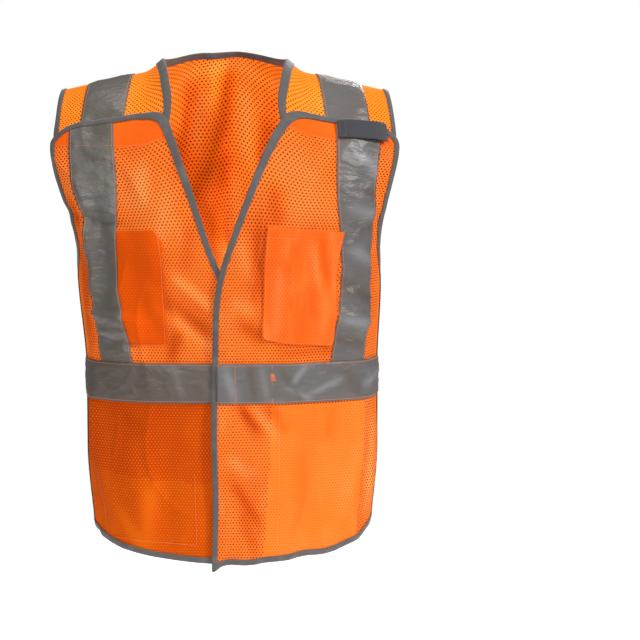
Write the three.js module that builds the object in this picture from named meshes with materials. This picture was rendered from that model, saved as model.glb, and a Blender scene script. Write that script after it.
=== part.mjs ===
// A five-point breakaway safety vest in the shape it has when worn.
// Millimetres, +Z up. The origin is midway between the shoulders, at the height of the neck.
// The wearer faces -Y, so the wearer's left is +X.
//
// Every cloth piece is drawn flat and then laid on one smooth skin. A flat point is [w, v]:
// w runs round the body from the centre line, positive to the wearer's left, and v runs from the
// ridge of the shoulders down the front (v > 0) or down the back (v < 0). Past the side line, w
// carries on round to the other face. A height above the skin stacks the pieces in layers.

import * as THREE from 'three';

// The skin
const CHEST_HALF_WIDTH = 196;
const CHEST_HALF_DEPTH = 120;
const WAIST_HALF_WIDTH = 182;
const SHOULDER_EXTRA = 49;
const CHEST_EXTRA = 7;
const HEM_TAPER = 10;
const DEPTH_TAPER = 0.06;
const SHOULDER_DROP = 250;
const SECTION_POWER = 2.8;
const SKIN_SAMPLES = 600;
const RIDGE_HEIGHT = 10.5;
const RIDGE_SLOPE = 0.23;
const RIDGE_ZERO = 86;
const RIDGE_SOFT = 43;
const NECK_HALF = 105;
const NECK_RISE = 45;
const NECK_POWER = 2.6;
const CHEST_HEIGHT = -5;
const SHOULDER_LEAN = -8;
const SLOPE_END = 220;
const TAPER_END = 620;

// Layers, as heights above the skin
const CLOTH = 1;
const FRONT_HEIGHT = 5;
const OVERLAP_LIFT = 5;
const OVERLAP_FROM = 64;
const OVERLAP_TO = 112;

// Trim
const TAPE_WIDTH = 50;
const TAPE_THICK = 0.8;
const TAPE_GAP = 1.2;
const BINDING_WIDTH = 8;
const BINDING_GAP = 0.9;
const BINDING_THICK = 0.8;
const BORDER = 9;
const BAND_TOP = 404;
const BAND_BOTTOM = BAND_TOP + TAPE_WIDTH;
const BACK_BAND_END = 238;
const FRONT_BAND_END = 242;
const SHOULDER_TAPE_HEIGHT = CLOTH + 1.3;
const SHOULDER_TAPE_THICK = 0.5;
const OUTER = FRONT_HEIGHT + CLOTH + TAPE_GAP;

// Hook-and-loop strips and the side tabs
const LOOP_HEIGHT = 3.1;
const HOOK_HEIGHT = 3.9;
const STRIP_THICK = 0.4;
const PATCH_HEIGHT = 7;
const PATCH_THICK = 0.6;
const PATCH_APART = 1.4;
const SIDE_PATCH_HEIGHT = 1.6;
const SIDE_PATCH_THICK = 0.5;
const SIDE_TAB_HEIGHT = 2.6;
const SIDE_TAB_THICK = 0.8;

// Pockets
const POCKET_DEPTH = 7;
const POCKET_SHEET = 0.8;
const POCKET_WALL = 1.2;
const CHEST_POCKET = { ws: [39, 136], vs: [239, 381] };
const RIGHT_CHEST_POCKET = { ws: [-155, -85], vs: [241, 383] };
const LEFT_LOWER_POCKET = { ws: [66, 188], vs: [466, 622] };
const RIGHT_LOWER_POCKET = { ws: [-190, -60], vs: [546, 620] };

// The microphone tab
const TAB_CENTRE = [143, 109];
const TAB_TILT = 0.125;
const TAB_LENGTH = 67;
const TAB_WIDTH = 25;
const TAB_THICK = 1.6;
const TAB_CLEAR = 4.8;
const TAB_FOOT = 6;
const TAB_HEIGHT = OUTER + TAPE_THICK + TAB_CLEAR;

// Outlines of the cloth, as [v, w] on the edges that run down and [w, v] on those that run across
const EXTENSION_END = 140;
const BACK_SIDE = 284;
const BACK_SIDE_TOP = 308;
const BACK_HEM = 655;
const BACK_HEM_RISE = 62;
const FRONT_SIDE = 252;
const FRONT_SIDE_TOP = 303;
const FRONT_HEM = 657;
const FRONT_HEM_RISE = 44;
const NECK_RADIUS = 66;
const SIDE_SPLIT = 430;
const NECK_EDGE = [[0, NECK_RADIUS], [25, 64], [70, 58.5], [105, 55], [120, 56.5], [EXTENSION_END, 61]];
const BACK_ARMHOLE = [
  [-BACK_SIDE_TOP, BACK_SIDE], [-300, 258], [-285, 234], [-255, 210], [-215, 196], [-160, 189],
  [-110, 187], [-60, 185], [0, 182], [60, 187], [110, 190], [EXTENSION_END, 190],
];
const FRONT_ARMHOLE = [
  [110, 191], [140, 189], [185, 190], [235, 199], [265, 213], [287, 233], [FRONT_SIDE_TOP, FRONT_SIDE],
];
const LEFT_EDGE = [
  [124, 57], [200, 26], [294, -13], [325, -20], [387, -25], [475, -28], [576, -27], [661, -30],
];
const RIGHT_EDGE = [
  [124, -58], [202, -39], [294, -11], [330, 8], [365, 30], [400, 46], [440, 52], [661, 52],
];
const FRONT_TOP = [[53, 131], [65, 112], [81, 101], [116, 97], [167, 95], [192, 112]];
const FRONT_TAPE_CENTRE = [
  [95, 140], [160, 140], [205, 148], [245, 161], [290, 170], [345, 165], [BAND_TOP, 157],
];
const BACK_TAPE_CENTRE = [[-BAND_TOP, 122], [0, 121], [60, 126], [EXTENSION_END, 134]];

// Colours
const COLORS = {
  orange: 0xff6f1c,
  tape: 0x85858a,
  binding: 0x6f6f74,
  tab: 0x49474c,
};

function material(color, roughness, metalness = 0) {
  return new THREE.MeshStandardMaterial({ color, roughness, metalness });
}

const mesh = material(COLORS.orange, 0.85);
const tricot = material(COLORS.orange, 0.7);
const tape = material(COLORS.tape, 0.45, 0.2);
const binding = material(COLORS.binding, 0.8);
const webbing = material(COLORS.tab, 0.85);
const hookAndLoop = material(COLORS.orange, 0.95);

const smooth = THREE.MathUtils.smoothstep;
const mix = THREE.MathUtils.lerp;

// ---- The skin ------------------------------------------------------------------------------

// Reads y at x from a rising table of [x, y] pairs.
function lookUp(table, x) {
  let low = 0;
  let high = table.length - 1;
  while (high - low > 1) {
    const middle = (low + high) >> 1;
    if (table[middle][0] > x) high = middle;
    else low = middle;
  }
  const [x0, y0] = table[low];
  const [x1, y1] = table[high];
  return mix(y0, y1, THREE.MathUtils.clamp((x - x0) / (x1 - x0), 0, 1));
}

// Walks a curve of an angle from 0 to a quarter turn, and tabulates length against the angle.
function lengthTable(curve) {
  const table = [[0, 0]];
  let before = curve(0);
  for (let i = 1; i <= SKIN_SAMPLES; i++) {
    const angle = (i / SKIN_SAMPLES) * (Math.PI / 2);
    const here = curve(angle);
    const length = table[i - 1][0] + Math.hypot(here[0] - before[0], here[1] - before[1]);
    table.push([length, angle]);
    before = here;
  }
  return table;
}

const bend = 2 / SECTION_POWER;
const section = (angle) => [
  CHEST_HALF_WIDTH * Math.sin(angle) ** bend,
  CHEST_HALF_DEPTH * Math.max(Math.cos(angle), 0) ** bend,
];
const drop = (angle) => [CHEST_HALF_DEPTH * Math.sin(angle), SHOULDER_DROP * (1 - Math.cos(angle))];
const sectionTable = lengthTable(section);
const dropTable = lengthTable(drop);
const SIDE_LINE = sectionTable[SKIN_SAMPLES][0];
const CHEST_LINE = dropTable[SKIN_SAMPLES][0];

// Half the width of the skin at a distance below the shoulders.
function halfWidth(fall) {
  return WAIST_HALF_WIDTH + SHOULDER_EXTRA * (1 - smooth(fall, 80, SHOULDER_DROP))
    + CHEST_EXTRA * (1 - smooth(fall, SHOULDER_DROP, 370)) - HEM_TAPER * smooth(fall, 470, 610);
}

// The height of the shoulder ridge, which rises smoothly at the neck.
function ridge(x) {
  const neck = Math.max(0, 1 - (Math.abs(x) / NECK_HALF) ** NECK_POWER);
  const slope = RIDGE_SLOPE * (Math.hypot(x, RIDGE_SOFT) - RIDGE_ZERO);
  return RIDGE_HEIGHT - slope + NECK_RISE * neck ** 2;
}

function skinPoint(w, v) {
  const wraps = Math.abs(w) > SIDE_LINE;
  const round = wraps ? 2 * SIDE_LINE - Math.abs(w) : Math.abs(w);
  const face = wraps === v < 0 ? -1 : 1;
  const angle = lookUp(sectionTable, round);
  const [wide, deep] = section(angle);
  const down = Math.abs(v);
  const tip = lookUp(dropTable, down);
  const past = Math.max(0, down - CHEST_LINE);
  const fall = drop(tip)[1] + past;
  const x = (Math.sign(w) * halfWidth(fall) * wide) / CHEST_HALF_WIDTH;
  const y = face * deep * Math.sin(tip) * (1 - DEPTH_TAPER * smooth(fall, SHOULDER_DROP, TAPER_END));
  const level = 1 - smooth(fall, 0, SLOPE_END);
  const z = CHEST_HEIGHT + (ridge(x) - CHEST_HEIGHT) * level - fall;
  return new THREE.Vector3(x + SHOULDER_LEAN * (1 - smooth(fall, 60, 400)), y, z);
}

// The point of the skin at [w, v], raised by height along the outward normal.
function skin(w, v, height) {
  const step = 0.5;
  const across = skinPoint(w + step, v).sub(skinPoint(w - step, v));
  const down = skinPoint(w, v + step).sub(skinPoint(w, v - step));
  const normal = down.cross(across).normalize();
  return skinPoint(w, v).addScaledVector(normal, height);
}

// ---- Solids --------------------------------------------------------------------------------

const group = new THREE.Group();

function add(name, geometry, finish) {
  geometry.computeVertexNormals();
  const piece = new THREE.Mesh(geometry, finish);
  piece.name = name;
  group.add(piece);
  return piece;
}

function closedGeometry(points, triangles) {
  const geometry = new THREE.BufferGeometry();
  geometry.setAttribute('position', new THREE.Float32BufferAttribute(points.flat(), 3));
  geometry.setIndex(triangles);
  return geometry;
}

// A closed solid of blocks on a grid of flat points. heights lists the levels from the inside out,
// and filled(row, column, level) says whether the block above that level is cloth.
function blocks(grid, heights, filled, lift = () => 0) {
  const rows = grid.length - 1;
  const columns = grid[0].length - 1;
  const floors = heights.length - 1;
  const points = [];
  const triangles = [];
  const known = new Map();
  const solid = (r, c, f) => r >= 0 && c >= 0 && f >= 0 && r < rows && c < columns && f < floors
    && filled(r, c, f);
  const corner = (r, c, f) => {
    const key = `${r},${c},${f}`;
    if (!known.has(key)) {
      const [w, v] = grid[r][c];
      known.set(key, points.length);
      points.push(skin(w, v, heights[f] + lift(w, v)).toArray());
    }
    return known.get(key);
  };
  const face = (a, b, c, d) => triangles.push(a, b, c, a, c, d);
  for (let r = 0; r < rows; r++) {
    for (let c = 0; c < columns; c++) {
      for (let f = 0; f < floors; f++) {
        if (!solid(r, c, f)) continue;
        const at = (dr, dc, df) => corner(r + dr, c + dc, f + df);
        if (!solid(r, c, f + 1)) face(at(0, 0, 1), at(1, 0, 1), at(1, 1, 1), at(0, 1, 1));
        if (!solid(r, c, f - 1)) face(at(0, 0, 0), at(0, 1, 0), at(1, 1, 0), at(1, 0, 0));
        if (!solid(r - 1, c, f)) face(at(0, 0, 0), at(0, 0, 1), at(0, 1, 1), at(0, 1, 0));
        if (!solid(r + 1, c, f)) face(at(1, 0, 0), at(1, 1, 0), at(1, 1, 1), at(1, 0, 1));
        if (!solid(r, c - 1, f)) face(at(0, 0, 0), at(1, 0, 0), at(1, 0, 1), at(0, 0, 1));
        if (!solid(r, c + 1, f)) face(at(0, 1, 0), at(0, 1, 1), at(1, 1, 1), at(1, 1, 0));
      }
    }
  }
  return closedGeometry(points, triangles);
}

function cloth(grid, height, thickness, lift) {
  return blocks(grid, [height, height + thickness], () => true, lift);
}

// A row or a path of flat points turned left for right, in the opposite order.
function mirrorPath(path) {
  return path.map(([w, v]) => [-w, v]).reverse();
}

function mirrored(grid) {
  return grid.map(mirrorPath);
}

function evenly(from, to, count) {
  return Array.from({ length: count + 1 }, (_, i) => mix(from, to, i / count));
}

function straightGrid(ws, vs) {
  return vs.map((v) => ws.map((w) => [w, v]));
}

// A curve through [x, y] pairs.
function through(pairs) {
  const spline = new THREE.CubicInterpolant(
    pairs.map((pair) => pair[0]), pairs.map((pair) => pair[1]), 1,
  );
  const first = pairs[0][0];
  const last = pairs[pairs.length - 1][0];
  return (x) => spline.evaluate(THREE.MathUtils.clamp(x, first, last))[0];
}

// Sweeps a channel folded over an edge. path is the edge in flat points, cloth to its left, and
// height is the bottom of the cloth it holds.
function foldedBinding(path, height, closed = false, lift = () => 0) {
  const low = height - BINDING_GAP;
  const high = height + CLOTH + BINDING_GAP;
  const profile = [
    [-BINDING_GAP - BINDING_THICK, low - BINDING_THICK], [BINDING_WIDTH, low - BINDING_THICK],
    [BINDING_WIDTH, low], [-BINDING_GAP, low], [-BINDING_GAP, high], [BINDING_WIDTH, high],
    [BINDING_WIDTH, high + BINDING_THICK], [-BINDING_GAP - BINDING_THICK, high + BINDING_THICK],
  ];
  const flat = path.map(([w, v]) => new THREE.Vector2(w, v));
  const count = flat.length;
  const inward = (a, b) => {
    const along = b.clone().sub(a).normalize();
    return new THREE.Vector2(-along.y, along.x);
  };
  const points = [];
  flat.forEach((here, i) => {
    const hasBefore = closed || i > 0;
    const hasAfter = closed || i < count - 1;
    const before = hasBefore ? inward(flat[(i + count - 1) % count], here) : null;
    const after = hasAfter ? inward(here, flat[(i + 1) % count]) : null;
    const one = before ?? after;
    const two = after ?? before;
    const across = one.clone().add(two).divideScalar(1 + one.dot(two));
    profile.forEach(([inset, up]) => {
      const w = here.x + across.x * inset;
      const v = here.y + across.y * inset;
      points.push(skin(w, v, up + lift(w, v)).toArray());
    });
  });
  const sides = profile.length;
  const triangles = [];
  const stretches = closed ? count : count - 1;
  for (let i = 0; i < stretches; i++) {
    const near = i * sides;
    const far = ((i + 1) % count) * sides;
    for (let k = 0; k < sides; k++) {
      const next = (k + 1) % sides;
      triangles.push(near + k, far + next, near + next, near + k, far + k, far + next);
    }
  }
  if (!closed) {
    const outline = profile.map(([inset, up]) => new THREE.Vector2(inset, up));
    const end = (count - 1) * sides;
    THREE.ShapeUtils.triangulateShape(outline, []).forEach(([a, b, c]) => {
      triangles.push(a, b, c);
      triangles.push(end + a, end + c, end + b);
    });
  }
  return closedGeometry(points, triangles);
}

// ---- Back panel, with its two shoulder extensions ------------------------------------------

const extensionNeck = through(NECK_EDGE);
const neckArc = (along) => Math.sqrt(NECK_RADIUS ** 2 - along ** 2);
const neckEdge = (v) => (v < 0 ? neckArc(v) : extensionNeck(v));
const backArmhole = through(BACK_ARMHOLE);
const HALF_STOPS = [0, 42, 80, 112, 137, 158, 178, 198, 218, 238, 258, BACK_SIDE - BORDER, BACK_SIDE];
const backHem = (w) => -BACK_HEM + BACK_HEM_RISE * (Math.abs(w) / BACK_SIDE) ** 2.6;
const halfColumns = HALF_STOPS.length - 1;
const NECK_COLUMN = 3;

// Where the row at v ends, on the armhole or the side.
const backOutside = (v) => (v < -BACK_SIDE_TOP ? BACK_SIDE : backArmhole(v));

// A half row of the back panel: the first columns lie across the neck opening's width.
function halfRow(v, inside) {
  const outside = backOutside(v);
  const widths = [];
  for (let c = 0; c <= halfColumns; c++) {
    if (c <= NECK_COLUMN) widths.push((inside * c) / NECK_COLUMN);
    else if (c === halfColumns) widths.push(outside);
    else if (c === NECK_COLUMN + 1) widths.push(inside + BORDER);
    else {
      const along = (c - NECK_COLUMN - 1) / (halfColumns - NECK_COLUMN - 2);
      widths.push(mix(inside + BORDER, outside - BORDER, along));
    }
  }
  return widths;
}

const neckRows = [-49, -43, -35, -27, -18, -9, 0, 25, 48, 70, 94, 112, 126, EXTENSION_END];
const bodyRows = [
  -NECK_RADIUS - BORDER, -92, -110, -140, -170, -200, -228, -255, -273, -286, -295, -302, -BACK_SIDE_TOP,
];
const sideRows = [-BACK_SIDE_TOP - BORDER, -360, -BAND_TOP, -BAND_BOTTOM, -505, -555];

function backGrid() {
  const rows = [];
  neckRows.slice().reverse().forEach((v) => {
    rows.push(halfRow(v, neckEdge(v)).map((w) => [w, v]));
  });
  const bottom = rows.pop().map(([w, v], c) => [w, c < NECK_COLUMN ? -neckArc(w) : v]);
  rows.push(bottom);
  bodyRows.forEach((v, i) => {
    const inside = mix(neckEdge(neckRows[0]), HALF_STOPS[NECK_COLUMN], Math.min(1, i / 3));
    const spread = halfRow(v, inside);
    rows.push(spread.map((w) => [w, v]));
  });
  sideRows.forEach((v) => rows.push(HALF_STOPS.map((w) => [w, v])));
  const hemLine = HALF_STOPS.map((w) => [w, backHem(w)]);
  rows.push(hemLine.map(([w, v]) => [w, v + BORDER]));
  rows.push(hemLine);
  return rows.reverse().map((row) => [...mirrorPath(row.slice(1)), ...row]);
}

const backRows = backGrid();
const backCentre = halfColumns;
const lastBackRow = backRows.length - 1;
const neckFloorRow = lastBackRow - neckRows.length + 1;
const isCloth = (row, column) => row < neckFloorRow
  || column < backCentre - NECK_COLUMN || column >= backCentre + NECK_COLUMN;

add('back_panel', blocks(backRows, [0, CLOTH], isCloth), mesh);

// The back panel's edges, read off its grid.
const leftSide = backRows.map((row) => row[2 * halfColumns]);
const neckUp = backRows.slice(neckFloorRow).map((row) => row[backCentre + NECK_COLUMN]);
const neckAcross = backRows[neckFloorRow].slice(backCentre - NECK_COLUMN, backCentre + NECK_COLUMN + 1);

const neckPath = [...mirrorPath(neckUp.slice(1)), ...neckAcross, ...neckUp.slice(1)];
add('neck_binding', foldedBinding(neckPath.reverse(), 0), binding);

// The armhole bindings and the hem binding stop a hair apart on each side.
const splitHigh = -SIDE_SPLIT + 0.4;
const splitLow = -SIDE_SPLIT - 0.4;
const leftArmholePath = [[BACK_SIDE, splitHigh], ...leftSide.filter(([, v]) => v > splitHigh)];
add('left_armhole_binding', foldedBinding(leftArmholePath, 0), binding);
add('right_armhole_binding', foldedBinding(mirrorPath(leftArmholePath), 0), binding);

const lowerSide = [...leftSide.slice(1).filter(([, v]) => v < splitLow), [BACK_SIDE, splitLow]];
const hemPath = [...mirrorPath(lowerSide), ...backRows[0], ...lowerSide];
add('back_hem_binding', foldedBinding(hemPath, 0), binding);

// ---- Reflective tape on the back -----------------------------------------------------------

const bandStops = [...HALF_STOPS.filter((w) => w < BACK_BAND_END), BACK_BAND_END];
const bandColumns = [...bandStops.slice(1).reverse().map((w) => -w), ...bandStops];
const backBand = straightGrid(bandColumns, [-BAND_BOTTOM, -BAND_TOP]);
add('back_waist_band', cloth(backBand, CLOTH + TAPE_GAP, TAPE_THICK), tape);

// A strip of tape along a centre line, from one v to another.
function tapeGrid(centreLine, vs) {
  const centre = through(centreLine);
  const steps = evenly(-TAPE_WIDTH / 2, TAPE_WIDTH / 2, 3);
  return vs.map((v) => steps.map((offset) => [centre(v) + offset, v]));
}

const backTapeRows = [
  ...bodyRows.slice().reverse(), ...neckRows.slice(0, -1), EXTENSION_END - 4,
];
const leftBackTape = tapeGrid(BACK_TAPE_CENTRE, [-BAND_TOP + 2, -360, ...backTapeRows]);
for (const [side, grid] of [['left', leftBackTape], ['right', mirrored(leftBackTape)]]) {
  add(`${side}_back_tape`, cloth(grid, SHOULDER_TAPE_HEIGHT, SHOULDER_TAPE_THICK), tape);
}

// ---- Shoulder and side closures ------------------------------------------------------------

const closureColumns = evenly(82, 166, 9);
const closureRows = evenly(112.5, 128.5, 2);
const leftClosure = straightGrid(closureColumns, closureRows);
for (const [side, grid] of [['left', leftClosure], ['right', mirrored(leftClosure)]]) {
  add(`${side}_shoulder_loop_strip`, cloth(grid, LOOP_HEIGHT, STRIP_THICK), hookAndLoop);
  add(`${side}_shoulder_hook_strip`, cloth(grid, HOOK_HEIGHT, STRIP_THICK), hookAndLoop);
}

// The side tab is webbing from the front panel's side edge back over a loop patch on the back.
const sideLine = 2 * SIDE_LINE;
const leftPatch = straightGrid(evenly(246, 270, 3), [-BAND_BOTTOM + 4, -BAND_TOP - 4]);
const leftTabGrid = straightGrid(
  evenly(sideLine - 274, sideLine - 242, 4), [BAND_TOP + 4, BAND_BOTTOM - 4],
);
for (const turn of [(grid) => grid, mirrored]) {
  const side = turn === mirrored ? 'right' : 'left';
  add(`${side}_side_loop_patch`, cloth(turn(leftPatch), SIDE_PATCH_HEIGHT, SIDE_PATCH_THICK), hookAndLoop);
  add(`${side}_side_tab`, cloth(turn(leftTabGrid), SIDE_TAB_HEIGHT, SIDE_TAB_THICK), webbing);
}

// ---- Front panels --------------------------------------------------------------------------

const frontArmhole = through(FRONT_ARMHOLE);
const frontTop = through(FRONT_TOP);
const frontOutside = (v) => (v > FRONT_SIDE_TOP ? FRONT_SIDE : frontArmhole(v));
const frontHem = (w) => FRONT_HEM - FRONT_HEM_RISE * (Math.abs(w) / FRONT_SIDE) ** 2.2;
const FRONT_DOWN = [
  0.04, 0.08, 0.12, 0.165, 0.21, 0.255, 0.3, 0.335, 0.365, 0.4, 0.47, 0.55, 0.645, 0.75, 0.87,
];
const FRONT_COLUMNS = 14;
const SQUEEZE = 1.35;
const LEVEL_FROM = 140;
const LEVEL_TO = FRONT_HEM - FRONT_HEM_RISE - 2 * BORDER;
const FIRST_STEP = 12;

// Rows of a front panel for the wearer's left, from its front edge to its armhole and side.
function frontGrid(frontEdge) {
  const across = (v) => {
    const inner = frontEdge(v) + BORDER;
    const outer = frontOutside(v) - BORDER;
    const middle = Array.from({ length: FRONT_COLUMNS - 1 }, (_, i) => (
      mix(outer, inner, (1 - i / (FRONT_COLUMNS - 2)) ** SQUEEZE)
    ));
    return [frontEdge(v), ...middle, frontOutside(v)];
  };
  const topLine = across(FRONT_TOP[0][1]).map((w) => [w, frontTop(w)]);
  topLine[topLine.length - 1] = FRONT_TOP[FRONT_TOP.length - 1];
  const rows = [topLine];
  rows.push(topLine.map(([w, v], i) => {
    const v1 = v + BORDER;
    if (i === 0) return [frontEdge(v1), v1];
    if (i === 1) return [frontEdge(v1) + BORDER, v1];
    return [w, v1];
  }));
  FRONT_DOWN.forEach((share, k) => {
    const v = mix(LEVEL_FROM, LEVEL_TO, share);
    const early = k === 0 ? 0.5 : 0;
    rows.push(across(v).map((w, i) => {
      const [startW, startV] = rows[1][i];
      return [mix(w, startW, early), mix(v, startV + FIRST_STEP, early)];
    }));
  });
  const hemWs = across(FRONT_HEM);
  rows.push(hemWs.map((w) => [w, frontHem(w) - BORDER]));
  rows.push(hemWs.map((w) => [w, frontHem(w)]));
  return rows;
}

// The edge of a grid as a loop, with the cloth to its left.
function outline(grid) {
  const last = grid[0].length - 1;
  const downOuter = grid.map((row) => row[last]);
  const hem = grid[grid.length - 1].slice().reverse();
  const upInner = grid.map((row) => row[0]).reverse();
  return [...grid[0].slice(0, -1), ...downOuter.slice(0, -1), ...hem.slice(0, -1), ...upInner.slice(0, -1)];
}

const overlapLift = (w) => OVERLAP_LIFT * (1 - smooth(w, OVERLAP_FROM, OVERLAP_TO));
const leftFront = frontGrid(through(LEFT_EDGE));
const rightEdge = through(RIGHT_EDGE);
const rightFront = mirrored(frontGrid((v) => -rightEdge(v)));

add('left_front_panel', cloth(leftFront, FRONT_HEIGHT, CLOTH, overlapLift), mesh);
add('left_front_binding', foldedBinding(outline(leftFront), FRONT_HEIGHT, true, overlapLift), binding);
add('right_front_panel', cloth(rightFront, FRONT_HEIGHT, CLOTH), mesh);
add('right_front_binding', foldedBinding(outline(rightFront), FRONT_HEIGHT, true), binding);

// Reflective tape on the fronts
const frontTapeRows = [107, 128, 150, 172, 195, 218, 240, 262, 282, 305, 350, BAND_TOP - 2];
const leftFrontTape = tapeGrid(FRONT_TAPE_CENTRE, frontTapeRows);
add('left_front_tape', cloth(leftFrontTape, OUTER, TAPE_THICK, overlapLift), tape);
add('right_front_tape', cloth(mirrored(leftFrontTape), OUTER, TAPE_THICK), tape);

const outerStops = [110, 137, 158, 178, 198, 216, 232, FRONT_BAND_END];
const leftBandWs = [-17, 12, 38, 64, 76, 88, 100, ...outerStops];
const rightBandWs = [...outerStops.slice().reverse().map((w) => -w), -76, -38, 0];
const bandVs = [BAND_TOP, BAND_BOTTOM];
add('left_front_waist_band', cloth(straightGrid(leftBandWs, bandVs), OUTER, TAPE_THICK, overlapLift), tape);
add('right_front_waist_band', cloth(straightGrid(rightBandWs, bandVs), OUTER, TAPE_THICK), tape);

// Hook-and-loop patches that close the front, behind the waist band
const frontPatch = straightGrid(evenly(0, 34, 2), [BAND_TOP + 3, BAND_BOTTOM - 3]);
add('front_loop_patch', cloth(frontPatch, PATCH_HEIGHT, PATCH_THICK), hookAndLoop);
add('front_hook_patch', cloth(frontPatch, PATCH_HEIGHT + PATCH_APART, PATCH_THICK), hookAndLoop);

// ---- Pockets -------------------------------------------------------------------------------

// An open-topped bag: a sheet with walls at its sides and bottom that reach towards the panel.
function pocket(ws, vs, levels, outward, lift) {
  const grid = straightGrid(ws, vs);
  const lastColumn = ws.length - 2;
  const lastRow = vs.length - 2;
  const sheetFloor = outward ? 1 : 0;
  const filled = (r, c, f) => f === sheetFloor || c === 0 || c === lastColumn || r === lastRow;
  return blocks(grid, levels, filled, lift);
}

// Stops from a to b with a wall's thickness at each end.
function walled([from, to], count) {
  return [from, ...evenly(from + POCKET_WALL, to - POCKET_WALL, count), to];
}

// The same with a wall at the far end only.
function walledBelow(range, count) {
  return walled(range, count).filter((_, i) => i !== 1);
}

const outerFloor = OUTER + TAPE_THICK + 0.5;
const outside = [outerFloor, outerFloor + POCKET_DEPTH, outerFloor + POCKET_DEPTH + POCKET_SHEET];
const innerCeiling = FRONT_HEIGHT - 1.2;
const inside = [innerCeiling - POCKET_DEPTH - POCKET_SHEET, innerCeiling - POCKET_DEPTH, innerCeiling];
add('chest_pocket', pocket(
  walled(CHEST_POCKET.ws, 6), walledBelow(CHEST_POCKET.vs, 5), outside, true, overlapLift,
), tricot);
add('right_chest_pocket', pocket(
  walled(RIGHT_CHEST_POCKET.ws, 5), walledBelow(RIGHT_CHEST_POCKET.vs, 5), inside, false,
), tricot);
add('left_lower_pocket', pocket(
  walled(LEFT_LOWER_POCKET.ws, 8), walledBelow(LEFT_LOWER_POCKET.vs, 3), inside, false, overlapLift,
), tricot);
add('right_lower_pocket', pocket(
  walled(RIGHT_LOWER_POCKET.ws, 8), walledBelow(RIGHT_LOWER_POCKET.vs, 2), inside, false,
), tricot);

// ---- Microphone tab ------------------------------------------------------------------------

// A flat strap across the left front's shoulder edge, sewn down at both ends.
function tabGeometry() {
  const [w, v] = TAB_CENTRE;
  const middle = skin(w, v, TAB_HEIGHT);
  const along = (distance) => skin(w + distance, v - TAB_TILT * distance, 0);
  const across = along(20).sub(along(-20)).normalize();
  const out = skin(w, v, 1).sub(skin(w, v, 0)).normalize();
  const down = out.clone().cross(across).normalize();
  const upright = across.clone().cross(down).normalize();
  const half = TAB_LENGTH / 2;
  const foot = (end) => {
    const seat = skin(w + end * (half - TAB_FOOT), v, OUTER + TAPE_THICK + 0.9);
    return seat.sub(middle).dot(upright);
  };
  const left = foot(-1);
  const right = foot(1);
  const shape = new THREE.Shape([
    [-half, left], [-half + TAB_FOOT, left], [-half + TAB_FOOT, 0], [half - TAB_FOOT, 0],
    [half - TAB_FOOT, right], [half, right], [half, TAB_THICK], [-half, TAB_THICK],
  ].map(([x, y]) => new THREE.Vector2(x, y)));
  const geometry = new THREE.ExtrudeGeometry(shape, { depth: TAB_WIDTH, bevelEnabled: false });
  geometry.translate(0, 0, -TAB_WIDTH / 2);
  const place = new THREE.Matrix4().makeBasis(across, upright, across.clone().cross(upright));
  place.setPosition(middle);
  return geometry.applyMatrix4(place);
}

add('mic_tab', tabGeometry(), webbing);

export default group;
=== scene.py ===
"""A five-point breakaway safety vest in orange mesh, worn by nobody, over a pale studio floor.

Every cloth piece is drawn flat and laid on one smooth skin, the same skin as the CAD model's. A
flat point is (w, v) in millimetres: w runs round the body from the centre line, positive to the
wearer's left, and v runs from the shoulders' ridge down the front (v > 0) or the back (v < 0).
Heights are in millimetres too, outwards from the skin.
"""
import math

import bpy
import numpy as np
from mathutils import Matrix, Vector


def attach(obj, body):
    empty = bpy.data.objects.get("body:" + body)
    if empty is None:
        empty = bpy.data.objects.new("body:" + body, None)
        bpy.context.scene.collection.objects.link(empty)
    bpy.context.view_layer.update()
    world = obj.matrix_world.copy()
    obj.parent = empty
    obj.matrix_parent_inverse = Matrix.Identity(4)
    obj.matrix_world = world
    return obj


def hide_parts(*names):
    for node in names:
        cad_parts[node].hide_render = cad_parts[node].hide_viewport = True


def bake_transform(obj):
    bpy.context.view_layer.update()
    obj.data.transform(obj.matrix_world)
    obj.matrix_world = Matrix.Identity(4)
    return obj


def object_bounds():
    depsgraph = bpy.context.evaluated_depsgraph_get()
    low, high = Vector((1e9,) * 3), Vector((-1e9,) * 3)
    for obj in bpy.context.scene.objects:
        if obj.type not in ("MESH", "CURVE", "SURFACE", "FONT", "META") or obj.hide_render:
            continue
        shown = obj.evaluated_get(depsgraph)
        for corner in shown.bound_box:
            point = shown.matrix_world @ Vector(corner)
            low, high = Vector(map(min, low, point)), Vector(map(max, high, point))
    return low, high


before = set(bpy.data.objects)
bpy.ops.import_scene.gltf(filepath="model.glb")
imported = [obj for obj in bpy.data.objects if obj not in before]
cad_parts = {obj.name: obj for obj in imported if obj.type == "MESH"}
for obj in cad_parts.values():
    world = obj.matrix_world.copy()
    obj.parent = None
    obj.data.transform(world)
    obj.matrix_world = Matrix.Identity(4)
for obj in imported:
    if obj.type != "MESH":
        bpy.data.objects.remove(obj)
cad_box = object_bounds()

MM = 0.001


def pair(x, y):
    """Two arrays of coordinates as one array of flat points."""
    return np.stack([x, y], -1)


def unit(vectors):
    return vectors / np.maximum(np.linalg.norm(vectors, axis=-1, keepdims=True), 1e-9)


def added(name, data):
    """A new object of the scene."""
    item = bpy.data.objects.new(name, data)
    bpy.context.scene.collection.objects.link(item)
    return item

# ---- Camera, on the photograph's axis ----

CAMERA_PLACE = (0.0, -2.5, -0.095)
CAMERA_YAW = 2.62
CAMERA_PITCH = 5.06
CAMERA_LENS = 108


def make_camera():
    data = bpy.data.cameras.new("camera")
    data.lens = CAMERA_LENS
    data.sensor_width = 36
    camera = added("camera", data)
    camera.location = CAMERA_PLACE
    camera.rotation_euler = (math.radians(90 - CAMERA_PITCH), 0, -math.radians(CAMERA_YAW))
    bpy.context.scene.camera = camera


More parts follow.
